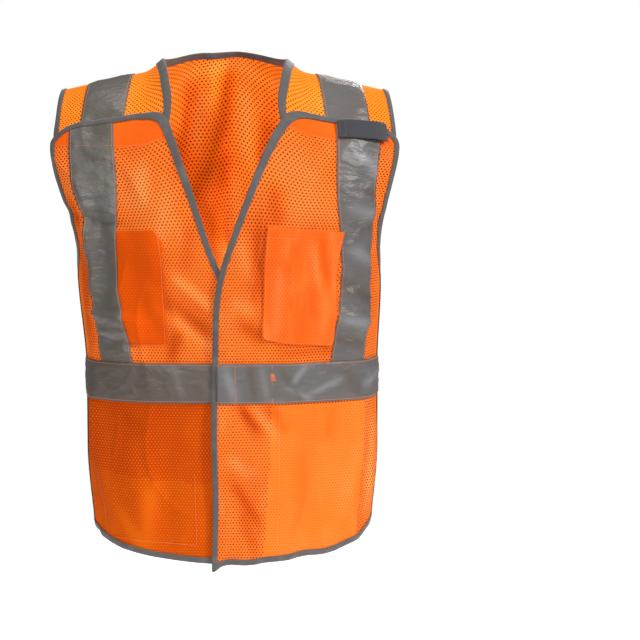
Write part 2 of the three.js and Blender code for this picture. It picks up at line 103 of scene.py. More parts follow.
make_camera()

# ---- The skin ----

CHEST_HALF_WIDTH = 196
CHEST_HALF_DEPTH = 120
WAIST_HALF_WIDTH = 182
SHOULDER_EXTRA = 49
CHEST_EXTRA = 7
HEM_TAPER = 10
DEPTH_TAPER = 0.06
SHOULDER_DROP = 250
SECTION_POWER = 2.8
SKIN_SAMPLES = 600
RIDGE_HEIGHT = 10.5
RIDGE_SLOPE = 0.23
RIDGE_ZERO = 86
RIDGE_SOFT = 43
NECK_HALF = 105
NECK_RISE = 45
NECK_POWER = 2.6
CHEST_HEIGHT = -5
SHOULDER_LEAN = -8
SLOPE_END = 220
TAPER_END = 620
# How far below the shoulders each change of the section starts or ends.
NARROWING_START = 80
CHEST_END = 370
HEM_TAPER_START = 470
HEM_TAPER_END = 610
LEAN_START = 60
LEAN_END = 400


def smooth(x, low, high):
    t = np.clip((np.asarray(x, float) - low) / (high - low), 0, 1)
    return t * t * (3 - 2 * t)


def section(angle):
    bend = 2 / SECTION_POWER
    deep = CHEST_HALF_DEPTH * np.maximum(np.cos(angle), 0) ** bend
    return CHEST_HALF_WIDTH * np.sin(angle) ** bend, deep


def drop(angle):
    return CHEST_HALF_DEPTH * np.sin(angle), SHOULDER_DROP * (1 - np.cos(angle))


ANGLES = np.linspace(0, math.pi / 2, SKIN_SAMPLES + 1)


def arc_lengths(curve):
    x, y = curve(ANGLES)
    return np.concatenate([[0], np.cumsum(np.hypot(np.diff(x), np.diff(y)))])


SECTION_LENGTHS = arc_lengths(section)
DROP_LENGTHS = arc_lengths(drop)
SIDE_LINE = SECTION_LENGTHS[-1]
CHEST_LINE = DROP_LENGTHS[-1]


def half_width(fall):
    return (
        WAIST_HALF_WIDTH
        + SHOULDER_EXTRA * (1 - smooth(fall, NARROWING_START, SHOULDER_DROP))
        + CHEST_EXTRA * (1 - smooth(fall, SHOULDER_DROP, CHEST_END))
        - HEM_TAPER * smooth(fall, HEM_TAPER_START, HEM_TAPER_END)
    )


def ridge(x):
    neck = np.maximum(0, 1 - (np.abs(x) / NECK_HALF) ** NECK_POWER)
    slope = RIDGE_SLOPE * (np.hypot(x, RIDGE_SOFT) - RIDGE_ZERO)
    return RIDGE_HEIGHT - slope + NECK_RISE * neck**2


def skin_point(w, v):
    wraps = np.abs(w) > SIDE_LINE
    around = np.where(wraps, 2 * SIDE_LINE - np.abs(w), np.abs(w))
    face = np.where(wraps == (v < 0), -1.0, 1.0)
    wide, deep = section(np.interp(around, SECTION_LENGTHS, ANGLES))
    down = np.abs(v)
    tip = np.interp(down, DROP_LENGTHS, ANGLES)
    fall = drop(tip)[1] + np.maximum(0, down - CHEST_LINE)
    x = np.sign(w) * half_width(fall) * wide / CHEST_HALF_WIDTH
    taper = 1 - DEPTH_TAPER * smooth(fall, SHOULDER_DROP, TAPER_END)
    y = face * deep * np.sin(tip) * taper
    level = 1 - smooth(fall, 0, SLOPE_END)
    z = CHEST_HEIGHT + (ridge(x) - CHEST_HEIGHT) * level - fall
    lean = SHOULDER_LEAN * (1 - smooth(fall, LEAN_START, LEAN_END))
    return np.stack([x + lean, y, z], -1)


def skin(w, v, height):
    """Points of the skin raised by height along its outward normal, in millimetres."""
    w, v, height = np.broadcast_arrays(*(np.asarray(a, float) for a in (w, v, height)))
    step = 0.5
    across = skin_point(w + step, v) - skin_point(w - step, v)
    down = skin_point(w, v + step) - skin_point(w, v - step)
    normal = unit(np.cross(down, across))
    return skin_point(w, v) + normal * height[..., None]


# ---- Folds ----

def waves(w, v, size, seed, stretch=1.0):
    """Soft random waves of about that wavelength, from -1 to 1. stretch lengthens them along v."""
    draw = np.random.default_rng(seed)
    total = np.zeros(np.broadcast(w, v).shape)
    count = 9
    for _ in range(count):
        turn = draw.uniform(0, math.pi)
        length = size * draw.uniform(0.7, 1.7)
        phase = draw.uniform(0, 2 * math.pi)
        push = 2 * math.pi / length
        total += np.sin(push * (np.cos(turn) * w + np.sin(turn) * v / stretch) + phase)
    return total / (0.55 * count)


def fold(w, v, w0, v0, w1, v1, width, height):
    """A ridge along a line of the flat cloth, dying away at both of its ends."""
    length = math.hypot(w1 - w0, v1 - v0)
    t = ((w - w0) * (w1 - w0) + (v - v0) * (v1 - v0)) / length**2
    off = ((w - w0) * (v1 - v0) - (v - v0) * (w1 - w0)) / length
    ends = smooth(t, -0.2, 0.3) * (1 - smooth(t, 0.7, 1.2))
    return height * ends * np.exp(-((off / width) ** 2))


def all_folds(w, v, table):
    return sum(fold(w, v, *row) for row in table)


FOLD_GAIN = 1.3
FRONT_DRAPE = 2.9
BACK_DRAPE = 3.0
RIPPLE = 0.4
SIDE_CALM = (205, 246)
BAND_CALM = 0.6

# Each fold: w and v of its start, w and v of its end, its half width and its height.
FRONT_FOLDS = [
    (-170, 190, -186, 345, 8, 5), (-152, 200, -166, 340, 11, -3), (-72, 130, -92, 330, 26, 3.5),
    (-125, 150, -118, 330, 20, -2.5), (-108, 300, -60, 398, 14, 2),
    (-150, 470, -120, 640, 24, 3), (-80, 460, -96, 640, 18, -3),
    (-205, 460, -180, 600, 16, 3), (48, 130, 76, 232, 15, -2.6), (22, 236, 38, 300, 9, -3),
    (88, 120, 104, 236, 20, 2.6), (178, 180, 196, 300, 10, -2.4), (4, 460, 34, 520, 9, -3.2),
    (46, 462, 100, 505, 10, -2.6), (160, 458, 128, 520, 14, -3), (10, 530, 44, 600, 10, -2.6),
    (26, 470, 40, 640, 14, 2.4), (180, 470, 150, 640, 22, 3.2), (112, 520, 96, 640, 18, 2),
    (214, 470, 206, 600, 12, 2.6), (-200, 212, -118, 236, 9, -3.2), (-200, 338, -112, 356, 8, 3.4),
    (-190, 372, -112, 384, 7, -2.6), (118, 340, 206, 362, 9, 3.2), (120, 300, 206, 312, 10, -2.6),
    (126, 196, 196, 214, 12, 2.4), (-74, 296, -14, 352, 8, 2.8), (-92, 330, -20, 386, 8, -2.8),
    (-60, 366, 10, 396, 7, 2.4), (-36, 150, -68, 240, 9, 2.6), (-52, 190, -16, 262, 9, -2.4),
]
BACK_FOLDS = [
    (14, -62, 0, -280, 11, 11), (-14, -66, -22, -250, 11, -10), (-46, -80, -34, -300, 12, 9),
    (40, -90, 26, -270, 11, -10), (66, -84, 40, -330, 12, 8), (-76, -76, -60, -300, 12, -8),
    (-120, -70, -150, -380, 20, 3), (118, -120, 70, -380, 18, -3),
    (150, -90, 190, -300, 16, 3), (-185, -180, -120, -395, 16, -3),
    (210, -240, 120, -398, 18, 3), (-60, -470, -90, -640, 20, 4), (20, -462, 0, -640, 18, -4),
    (90, -470, 120, -630, 20, 3.5), (170, -480, 160, -620, 18, -4),
    (-170, -470, -190, -620, 18, 4), (230, -470, 226, -600, 14, 3),
    (-235, -465, -225, -600, 14, -3),
]
# Painted shade and painted highlight along the folds, put into the colour and not the shape.
# Each stroke: w and v of its start and of its end, its half width, and how dark (-1, painted
# shade) or pale (1, painted highlight).
FRONT_PAINTED_SHADING = [
    (-86, 158, -94, 215, 9, 0.9), (-60, 190, -84, 262, 10, 0.6), (-78, 290, -16, 340, 8, 0.8),
    (-84, 318, -22, 372, 9, -0.8), (-78, 345, -20, 392, 8, 0.6), (-66, 360, -84, 404, 10, -0.8),
    (-196, 250, -206, 400, 16, -0.9), (-176, 196, -184, 236, 7, -1),
    (-110, 150, -112, 220, 16, 0.35), (-40, 230, -60, 292, 10, -0.5), (-76, 250, -80, 384, 7, -0.5),
    (-150, 462, -128, 500, 14, -0.7), (-108, 548, -126, 646, 12, 0.8),
    (-160, 588, -128, 646, 10, 0.8), (-60, 470, -72, 560, 18, 0.35),
    (-200, 470, -190, 620, 14, -0.6), (40, 218, 35, 335, 12, -1), (6, 352, 46, 374, 10, -0.9),
    (0, 326, 34, 340, 9, 0.7), (72, 150, 92, 238, 24, 0.45), (50, 194, 60, 238, 9, -0.7),
    (14, 250, 24, 300, 8, 0.5), (152, 388, 60, 392, 7, -0.6), (8, 457, 40, 494, 7, -1),
    (24, 456, 60, 500, 7, 0.7), (46, 460, 74, 492, 8, -0.8), (-8, 520, 30, 548, 9, 0.7),
    (-4, 548, 38, 610, 9, -0.9), (10, 590, 30, 640, 8, -0.6), (140, 456, 126, 506, 10, -0.6),
    (176, 500, 150, 600, 14, 0.5), (202, 480, 200, 600, 8, 0.8), (96, 500, 80, 630, 16, -0.35),
]
# Painted shade and painted highlight on the chest pocket.
POCKET_PAINTED_SHADING = [
    (113, 248, 124, 306, 5, -1), (102, 254, 112, 314, 6, 0.8), (104, 300, 86, 374, 9, -0.6),
    (64, 286, 56, 376, 8, 0.6), (84, 248, 74, 300, 7, -0.4), (122, 310, 118, 372, 7, 0.5),
    (132, 250, 134, 340, 5, 0.5),
]
# Painted shade and painted glints in the tape's creases.
TAPE_PAINTED_SHADING = [
    (138, 140, 178, 172, 8, 1), (140, 188, 186, 196, 6, -0.9), (138, 210, 184, 222, 8, 0.8),
    (150, 240, 200, 232, 5, -0.6), (150, 262, 200, 282, 8, 0.9), (140, 302, 196, 332, 8, -1),
    (140, 350, 192, 358, 6, 0.9), (136, 376, 186, 384, 6, -0.7), (-10, 408, 4, 452, 7, 0.8),
    (22, 404, 30, 454, 5, -0.8), (38, 404, 46, 452, 5, 0.5), (98, 406, 76, 432, 4, 1),
    (70, 434, 104, 450, 4, 0.8), (100, 444, 152, 424, 4, 0.9), (62, 410, 92, 452, 5, -0.6),
    (148, 404, 172, 454, 8, -0.6), (180, 436, 232, 422, 5, 0.8), (-40, 410, -30, 452, 6, 0.5),
    (-78, 406, -66, 452, 5, 0.6), (-118, 404, -104, 454, 6, -0.5), (-196, 404, -206, 454, 6, -0.6),
    (-130, 210, -180, 206, 7, 0.4), (-130, 330, -186, 346, 6, -0.5), (-126, 366, -180, 380, 6, 0.6),
]
# Painted shade and painted highlight on the back, strongest inside the V.
BACK_PAINTED_SHADING = [
    (2, -88, -2, -152, 10, -0.9), (-3, -140, -24, -192, 10, -1), (-20, -184, -50, -224, 11, -0.9),
    (-2, -172, -6, -208, 9, -0.9), (-54, -136, -62, -200, 14, -0.8), (50, -128, 40, -176, 12, -1),
    (-24, -104, -36, -168, 9, 0.8), (20, -100, 27, -184, 12, 0.9), (10, -190, 8, -262, 12, 0.9),
    (-30, -222, -14, -262, 9, -0.5), (0, -264, 2, -330, 16, 0.8), (-60, -84, 60, -84, 10, 0.5),
    (-120, -120, -150, -330, 20, -0.6), (120, -150, 90, -380, 18, -0.6),
    (-90, -140, -70, -330, 16, 0.5), (160, -120, 180, -300, 14, 0.5),
    (-60, -470, -90, -640, 16, 0.6), (20, -462, 0, -640, 14, -0.8), (90, -470, 120, -630, 16, 0.6),
    (170, -480, 160, -620, 14, -0.8), (-170, -470, -190, -620, 14, 0.7),
    (-120, -480, -130, -620, 12, -0.7),
]


def shade(w, v):
    """Painted shade (-1) and painted highlight (1) of the cloth's folds, put into its colour."""
    strokes = np.where(v > 0, all_folds(w, v, FRONT_PAINTED_SHADING), all_folds(w, v, BACK_PAINTED_SHADING))
    return np.clip(strokes + 0.25 * waves(w, v, 60, 91, 2.0), -1, 1)


# The chest pocket's painted shade and painted highlight.
def pocket_shade(w, v):
    return np.clip(all_folds(w, v, POCKET_PAINTED_SHADING), -1, 1)


def tape_shade(w, v):
    """Painted shade and glints along the tape's creases, and painted shade on the right front."""
    band = smooth(v, BAND_TOP - 4, BAND_TOP)
    # The right front's tape is painted darker, most on its waist band: painted shade.
    right_front_shade = np.where((w < -24) & (v > 0), -0.25 - 0.6 * band, 0.0)
    return np.clip(right_front_shade + all_folds(w, v, TAPE_PAINTED_SHADING), -1, 1)


def drape(w, v, size, seed, stretch):
    """Random hanging folds: waves on warped cloth, with soft valleys and narrower ridges."""
    bent = w + 0.35 * size * waves(w, v, 3 * size, seed + 1, stretch)
    soft = waves(bent, v, size, seed, stretch)
    narrow = np.abs(waves(bent, v, 1.3 * size, seed + 2, stretch))
    return soft + 0.8 * np.maximum(0, 1 - narrow * 2.2) ** 2


def relief(w, v):
    """How far the folded cloth stands off the skin, the same for every layer at that point."""
    w = np.asarray(w, float)
    v = np.asarray(v, float)
    front = FOLD_GAIN * all_folds(w, v, FRONT_FOLDS) + FRONT_DRAPE * drape(w, v, 72, 11, 2.2)
    back = FOLD_GAIN * all_folds(w, v, BACK_FOLDS) + BACK_DRAPE * drape(w, v, 76, 23, 2.4)
    small = RIPPLE * waves(w, v, 26, 71, 1.3)
    front = (front + small) * smooth(v, 25, 110)
    back = (back + small) * smooth(-v, 30, 110)
    calm = 1 - smooth(np.abs(w), *SIDE_CALM)
    down = np.abs(v)
    band = 1 - BAND_CALM * smooth(down, 392, 412) * (1 - smooth(down, 446, 466))
    return np.where(v > 0, front, back) * calm * band


def lay(w, v, height):
    """Flat points on the folded cloth, in metres."""
    return skin(w, v, height + relief(w, v)) * MM


# ---- Flat paths ----

def through(pairs):
    """A smooth curve through (x, y) pairs, as a function of x."""
    x, y = np.array(pairs, float).T
    slopes = np.diff(y) / np.diff(x)
    tangents = np.concatenate([[slopes[0]], (slopes[1:] + slopes[:-1]) / 2, [slopes[-1]]])

    def curve(at):
        at = np.clip(at, x[0], x[-1])
        k = np.clip(np.searchsorted(x, at) - 1, 0, len(x) - 2)
        span = x[k + 1] - x[k]
        t = (at - x[k]) / span
        return (
            (2 * t**3 - 3 * t**2 + 1) * y[k]
            + (t**3 - 2 * t**2 + t) * span * tangents[k]
            + (3 * t**2 - 2 * t**3) * y[k + 1]
            + (t**3 - t**2) * span * tangents[k + 1]
        )

    return curve


def resample(path, step, closed=False):
    """The same path with points about a step apart."""
    path = np.asarray(path, float)
    if closed:
        path = np.vstack([path, path[:1]])
    lengths = np.concatenate([[0], np.cumsum(np.hypot(*np.diff(path, axis=0).T))])
    count = max(2, round(lengths[-1] / step))
    at = np.linspace(0, lengths[-1], count + 1)
    points = np.stack([np.interp(at, lengths, path[:, k]) for k in (0, 1)], -1)
    return points[:-1] if closed else points


def rounded(path, radius, closed=False, keep=()):
    """The path with its corners softened, except near the points in keep."""
    step = 1.5
    path = resample(path, step, closed)
    reach = math.ceil(2.5 * radius / step)
    weights = np.exp(-0.5 * (np.arange(-reach, reach + 1) * step / (0.6 * radius)) ** 2)
    weights /= weights.sum()
    if closed:
        padded = np.vstack([path[-reach:], path, path[:reach]])
    else:
        before = 2 * path[0] - path[reach:0:-1]
        after = 2 * path[-1] - path[-2:-reach - 2:-1]
        padded = np.vstack([before, path, after])
    soft = np.stack([np.convolve(padded[:, k], weights, "valid") for k in (0, 1)], -1)
    stay = np.zeros(len(path))
    for w, v in keep:
        stay = np.maximum(stay, 1 - smooth(np.hypot(path[:, 0] - w, path[:, 1] - v), 8, 24))
    return soft + (path - soft) * stay[:, None]


def inward(path, closed=False):
    """At each point of a path that has the cloth on its left, the way into the cloth."""
    ahead = np.roll(path, -1, 0) - path
    if not closed:
        ahead[-1] = ahead[-2]
    ahead = unit(ahead)
    behind = np.roll(ahead, 1, 0)
    if not closed:
        behind[0] = ahead[0]
    one = pair(-ahead[:, 1], ahead[:, 0])
    two = pair(-behind[:, 1], behind[:, 0])
    return (one + two) / (1 + (one * two).sum(1, keepdims=True))


def offset(path, distance, closed=False):
    return path + inward(path, closed) * distance


def mirror(path):
    """The path on the other side of the centre line, still with the cloth on its left."""
    return (np.asarray(path, float) * (-1, 1))[::-1]


def contains(polygon, points):
    """Which points lie inside a closed flat polygon."""
    inside = np.zeros(len(points), bool)
    x, y = points.T
    for (x0, y0), (x1, y1) in zip(polygon, np.roll(polygon, -1, 0)):
        crosses = (y0 > y) != (y1 > y)
        if crosses.any():
            at = x0 + (y - y0) * (x1 - x0) / (y1 - y0 if y1 != y0 else 1e-9)
            inside ^= crosses & (x < at)
    return inside


# ---- Cutting lines, as in the CAD model ----

CLOTH = 1
FRONT_HEIGHT = 5
OVERLAP_LIFT = 5
OVERLAP_SLOPE = (64, 112)
TAPE_WIDTH = 50
BAND_TOP = 404
BAND_BOTTOM = BAND_TOP + TAPE_WIDTH
EXTENSION_END = 140
BACK_SIDE = 284
BACK_SIDE_TOP = 308
BACK_HEM = 655
BACK_HEM_RISE = 62
FRONT_SIDE = 252
FRONT_SIDE_TOP = 303
FRONT_HEM = 657
FRONT_HEM_RISE = 44
NECK_RADIUS = 66
SIDE_SPLIT = 430
CORNER = 13
neck_edge = through([
    (0, NECK_RADIUS), (25, 64), (70, 58.5), (105, 55), (120, 56.5), (EXTENSION_END, 61),
])
back_armhole = through([
    (-BACK_SIDE_TOP, BACK_SIDE), (-300, 258), (-285, 234), (-255, 210), (-215, 196), (-160, 189),
    (-110, 187), (-60, 185), (0, 182), (60, 187), (110, 190), (EXTENSION_END, 190),
])
front_armhole = through([
    (110, 191), (140, 189), (185, 190), (235, 199), (265, 213), (287, 233),
    (FRONT_SIDE_TOP, FRONT_SIDE),
])
left_edge = through([
    (124, 57), (200, 26), (294, -13), (325, -20), (387, -25), (475, -28), (576, -27), (661, -30),
])
right_edge = through([
    (124, -58), (202, -39), (294, -11), (330, 8), (365, 30), (400, 46), (440, 52), (661, 52),
])
front_top = through([(53, 131), (65, 112), (81, 101), (116, 97), (167, 95), (192, 112)])
front_tape_line = through([
    (95, 140), (160, 140), (205, 148), (245, 161), (290, 170), (345, 165), (BAND_TOP, 157),
])
back_tape_line = through([(-BAND_TOP, 122), (0, 121), (60, 126), (EXTENSION_END, 134)])


def front_hem(w):
    return FRONT_HEM - FRONT_HEM_RISE * (np.abs(w) / FRONT_SIDE) ** 2.2


def hem_waves(w):
    """The hem isn't cut by a ruler: it waves a little, and dips to a point at the front edge."""
    wave = 1.6 * np.sin(w / 21 + 0.8) + 1.2 * np.sin(w / 9.3)
    return wave * smooth(w, -20, 30) + 10 * np.exp(-(((w + 30) / 11) ** 2))


def back_hem(w):
    return -BACK_HEM + BACK_HEM_RISE * (np.abs(w) / BACK_SIDE) ** 2.6


def front_outline(edge, waved=lambda w: 0.0 * w):
    """The cutting line of a front for the wearer's left, with the cloth on its left."""
    ws = np.linspace(float(edge(124)), 192, 40)
    top = pair(ws, front_top(ws))
    vs = np.linspace(118, FRONT_SIDE_TOP, 60)
    armhole = pair(front_armhole(vs), vs)
    corner = [[FRONT_SIDE, float(front_hem(FRONT_SIDE))]]
    inner = float(edge(FRONT_HEM))
    ws = np.linspace(FRONT_SIDE - 4, inner, 80)
    hem = pair(ws, front_hem(ws) + waved(ws))
    vs = np.linspace(FRONT_HEM - 4, 128, 120)
    front = pair(edge(vs), vs)
    path = np.vstack([top, armhole, corner, hem, front])
    return rounded(path, CORNER, closed=True, keep=[tuple(hem[-1])])


LEFT_FRONT = front_outline(left_edge, hem_waves)
RIGHT_FRONT = mirror(front_outline(lambda v: -right_edge(v)))

vs = np.linspace(EXTENSION_END, 0, 50)
turn = np.linspace(0, math.pi / 2, 30)[1:]
half_neck = np.vstack([
    pair(neck_edge(vs), vs),
    pair(NECK_RADIUS * np.cos(turn), -NECK_RADIUS * np.sin(turn)),
])
NECK = resample(np.vstack([half_neck, mirror(half_neck)[1:]]), 2)
vs = np.linspace(-BACK_SIDE_TOP, EXTENSION_END, 120)
LEFT_ARMHOLE = rounded(
    np.vstack([[[BACK_SIDE, -SIDE_SPLIT]], pair(back_armhole(vs), vs)]), CORNER / 2
)
ws = np.linspace(-BACK_SIDE, BACK_SIDE, 120)
HEM = rounded(np.vstack([
    [[-BACK_SIDE, -SIDE_SPLIT]], pair(ws, back_hem(ws)), [[BACK_SIDE, -SIDE_SPLIT]],
]), CORNER)
BACK = np.vstack([HEM, LEFT_ARMHOLE[1:], NECK, mirror(LEFT_ARMHOLE)[:-1]])


def at(base, height):
    """A height function that lies that far over another. Each says how high a layer's inner face
    is over the skin at (w, v)."""
    return lambda w, v: base(w, v) + height


def on_back(w, v):
    return 0.0 * w


def lifted(w, v):
    """The left front rises over the right one where they overlap."""
    return OVERLAP_LIFT * (1 - smooth(w, *OVERLAP_SLOPE))


on_left_front = at(lifted, FRONT_HEIGHT)
on_right_front = at(on_back, FRONT_HEIGHT)

# ---- Meshes ----

def make(name, points, faces, flat, material, body=None, nodes=()):
    """A smooth-shaded piece of the vest. flat keeps each vertex's flat place for its material, and
    the painted shade or painted highlight there."""
    data = bpy.data.meshes.new(name)
    data.from_pydata(points.tolist(), [], faces.tolist() if hasattr(faces, "tolist") else faces)
    data.update()
    place = data.attributes.new("flat", "FLOAT_VECTOR", "POINT")
    rows = np.zeros((len(points), 3), np.float32)
    rows[:, :flat.shape[1]] = flat
    place.data.foreach_set("vector", rows.ravel())
    data.polygons.foreach_set("use_smooth", np.ones(len(data.polygons), bool))
    data.materials.append(material)
    piece = added(name, data)
    if body:
        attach(piece, body)
    if nodes:
        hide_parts(*nodes)
    return piece


MESH_ACROSS = 4.35
MESH_DOWN = 3.4
HOLE_RADIUS = 1.0
HOLE_DEPTH = 0.3
CUT_MARGIN = 2.2
FAR = 1e4
HEXAGON = np.array([(0, 2), (-1, 1), (-1, -1), (0, -2), (1, -1), (1, 1)])


def perforated(name, outline, base, look, hole, body, nodes, rows=(-FAR, FAR), lined=()):
    """Knitted mesh with a staggered pattern of holes, cut to an outline in flat points. Each hole
    holds a face of the hole material: a painted shadow of the vest's inside. lined is a list of
    (flat polygon, material): with a pocket behind it, the mesh's holes don't show dark."""
    half, third = MESH_ACROSS / 2, MESH_DOWN / 3
    low, high = outline.min(0), outline.max(0)
    row = np.arange(math.floor(low[1] / MESH_DOWN), math.ceil(high[1] / MESH_DOWN) + 1)
    column = np.arange(math.floor(low[0] / MESH_ACROSS) - 1, math.ceil(high[0] / MESH_ACROSS) + 1)
    column, row = (a.ravel() for a in np.meshgrid(column, row))
    cells = pair(2 * column + row % 2, 3 * row)
    centres = cells * (half, third)
    keep = contains(offset(outline, CUT_MARGIN, closed=True), centres)
    keep &= (centres[:, 1] > rows[0]) & (centres[:, 1] <= rows[1])
    cells, centres = cells[keep], centres[keep]
    corners = (cells[:, None, :] + HEXAGON).reshape(-1, 2)
    grid, index = np.unique(corners, axis=0, return_inverse=True)
    outer = index.reshape(-1, 6)
    turns = np.arctan2(HEXAGON[:, 1] * third, HEXAGON[:, 0] * half)
    rim = HOLE_RADIUS * pair(np.cos(turns), np.sin(turns))
    holes = (centres[:, None, :] + rim).reshape(-1, 2)
    flat = np.vstack([grid * (half, third), holes])
    inner = len(grid) + np.arange(len(holes)).reshape(-1, 6)
    dimple = np.concatenate([np.zeros(len(grid)), np.full(len(holes), -HOLE_DEPTH)])
    w, v = flat.T
    points = lay(w, v, base(w, v) + CLOTH / 2 + dimple)
    faces = np.stack(
        [outer, np.roll(outer, -1, 1), np.roll(inner, -1, 1), inner], -1
    ).reshape(-1, 4).tolist()
    faces += inner.tolist()
    # Z of the flat place: the folds' painted shade and painted highlight.
    flat = np.column_stack([flat, shade(w, v)])
    piece = make(name, points, faces, flat, look, body, nodes)
    looks = np.concatenate([np.zeros(6 * len(inner), np.int32), np.ones(len(inner), np.int32)])
    piece.data.materials.append(hole)
    for polygon, material in lined:
        covered = contains(np.array(polygon, float), centres)
        looks[:6 * len(inner)][np.repeat(covered, 6)] = len(piece.data.materials)
        looks[6 * len(inner):][covered] = len(piece.data.materials) + 1
        piece.data.materials.append(material)
        piece.data.materials.append(PALE_HOLE)
    piece.data.polygons.foreach_set("material_index", looks)
    return piece


def shell_faces(rows, columns):
    """The faces of a closed shell over a grid, whose lower points come before its upper ones."""
    index = np.arange(rows * columns).reshape(rows, columns)
    top = rows * columns
    a, b = index[:-1, :-1].ravel(), index[1:, :-1].ravel()
    c, d = index[1:, 1:].ravel(), index[:-1, 1:].ravel()
    rim = np.concatenate([index[:, 0], index[-1, 1:], index[-2::-1, -1], index[0, -2:0:-1]])
    after = np.roll(rim, -1)
    return np.concatenate([
        np.stack([a, b, c, d], -1) + top,
        np.stack([d, c, b, a], -1),
        np.stack([rim, after, after + top, rim + top], -1),
    ])


def slab(name, grid, height, thick, material, body=None, nodes=(), crease=None,
         painted_shading=None):
    """A thin closed solid over a grid of flat points, shape (rows, columns, 2)."""
    rows, columns = grid.shape[:2]
    w, v = grid[..., 0], grid[..., 1]
    rise = height(w, v) + (0 if crease is None else crease(w, v))
    edge = np.zeros((rows, columns))
    edge[[0, -1], :] = edge[:, [0, -1]] = 1
    lower = lay(w, v, rise + 0.25 * thick * edge)
    upper = lay(w, v, rise + thick * (1 - 0.25 * edge))
    points = np.concatenate([lower.reshape(-1, 3), upper.reshape(-1, 3)])
    flat = np.concatenate([grid.reshape(-1, 2)] * 2)
    # Z of the flat place: painted shade and painted highlight, where the piece has them.
    if painted_shading is not None:
        flat = np.column_stack([flat, painted_shading(*flat.T)])
    return make(name, points, shell_faces(rows, columns), flat, material, body, nodes)


BINDING_STEP = 2.6
# A folded binding's section, as (inset from the edge, height over the bottom of the cloth).
BINDING = np.array([
    (7.0, -0.35), (6.6, -0.75), (4.4, -0.9), (2.0, -0.85), (0.2, -0.6), (-0.8, 0.1), (-0.8, 0.9),
    (0.2, 1.6), (2.0, 1.85), (4.4, 1.9), (6.6, 1.75), (7.0, 1.35), (4.4, 1.3), (1.5, 1.2),
    (0.6, 0.5), (1.5, -0.2), (4.4, -0.3),
])


def binding(name, path, base, material, body, nodes, closed=False):
    """Folded tape that wraps the cloth's edge along a path."""
    path = resample(path, BINDING_STEP, closed)
    across = inward(path, closed)
    sides = len(BINDING)
    flat = path[:, None, :] + across[:, None, :] * BINDING[None, :, :1]
    w, v = flat[..., 0], flat[..., 1]
    ripple = 0.12 * waves(w, v, 9, 5)
    points = lay(w, v, base(w, v) + BINDING[None, :, 1] + ripple).reshape(-1, 3)
    count = len(path)
    near = np.arange(count if closed else count - 1)[:, None] * sides
    far = (near + sides) % (count * sides)
    k = np.arange(sides)[None, :]
    after = (k + 1) % sides
    faces = np.stack([near + k, far + k, far + after, near + after], -1).reshape(-1, 4).tolist()
    if not closed:
        faces.append(list(range(sides)))
        faces.append([(count - 1) * sides + i for i in reversed(range(sides))])
    return make(name, points, faces, flat.reshape(-1, 2), material, body, nodes)


def stitch_shape(neck, tip, crown, keel):
    """A stitch's ten points, as shares of its length, its width and its height."""
    rings = [
        point
        for along in (-neck, neck)
        for point in ((along, -0.5, 0), (along, 0, crown), (along, 0.5, 0), (along, 0, keel))
    ]
    return np.array([(-0.5, 0, tip), *rings, (0.5, 0, tip)])


STITCH = stitch_shape(0.3, -0.2, 0.45, -0.4)
TAB_STITCH = stitch_shape(0.25, -0.3, 0.5, -0.5)


def stitch_places(path, ahead, shape, length, width):
    """The flat points of a stitch at each point of a path, shape (stitches, 10, 2)."""
    side = pair(-ahead[:, 1], ahead[:, 0])
    along = ahead[:, None, :] * shape[None, :, :1] * length
    return path[:, None, :] + along + side[:, None, :] * shape[None, :, 1:2] * width


def stitch_faces(count, start=0):
    """The faces of that many stitches, whose points begin at index start."""
    first = start + np.arange(count)[:, None] * len(STITCH)
    faces = []
    for k in range(4):
        after = (k + 1) % 4
        for corners in (
            (0, 1 + k, 1 + after), (1 + k, 5 + k, 5 + after, 1 + after), (5 + k, 9, 5 + after),
        ):
            faces += (first + np.array(corners)).tolist()
    return faces


def stitches(name, lines, material, body, slot, pitch=3.4, length=2.5, width=0.55):
    """Rows of thread stitches. Each line is (flat path, height function of w and v, closed)."""
    points, flats, faces = [], [], []
    for path, height, closed in lines:
        path = resample(path, pitch, closed)
        ahead = unit(np.gradient(path, axis=0))
        flat = stitch_places(path, ahead, STITCH, length, width)
        faces += stitch_faces(len(path), sum(map(len, points)))
        points.append(lay(
            flat[..., 0], flat[..., 1], height(flat[..., 0], flat[..., 1]) + STITCH[:, 2] * width
        ).reshape(-1, 3))
        flats.append(flat.reshape(-1, 2))
    return make(name, np.concatenate(points), faces, np.concatenate(flats), material, body)


# Each seam: the pitch, the length and the width of its stitches.
TAPE_SEAM = (3.0, 2.2, 0.5)
CHEST_SEAM = (2.8, 2.0, 0.42)
POCKET_SEAM = (3.0, 2.2, 0.45)
TOP_SEAM = (3.0, 2.2, 0.42)
EDGE_SEAM = (3.0, 2.0, 0.42)
PATCH_SEAM = (2.6, 1.9, 0.5)
TACK_SEAM = (1.7, 2.3, 0.5)
SIDE_SEAM = (2.4, 1.8, 0.5)


def evenly(start, end, step):
    return np.linspace(start, end, max(2, round(abs(end - start) / step) + 1))


def strip_grid(line, start, end, width, step=2.5):
    """Flat points of a strip that follows w = line(v) from v = start to v = end."""
    vs = evenly(start, end, step)
    ws = line(vs)[:, None] + evenly(-width / 2, width / 2, step)[None, :]
    return pair(ws, np.broadcast_to(vs[:, None], ws.shape))


def box_grid(ws, vs, step=2.5):
    return np.stack(np.meshgrid(evenly(*ws, step), evenly(*vs, step)), -1)


# ---- Materials ----

BANDS_PER_MM = 0.314


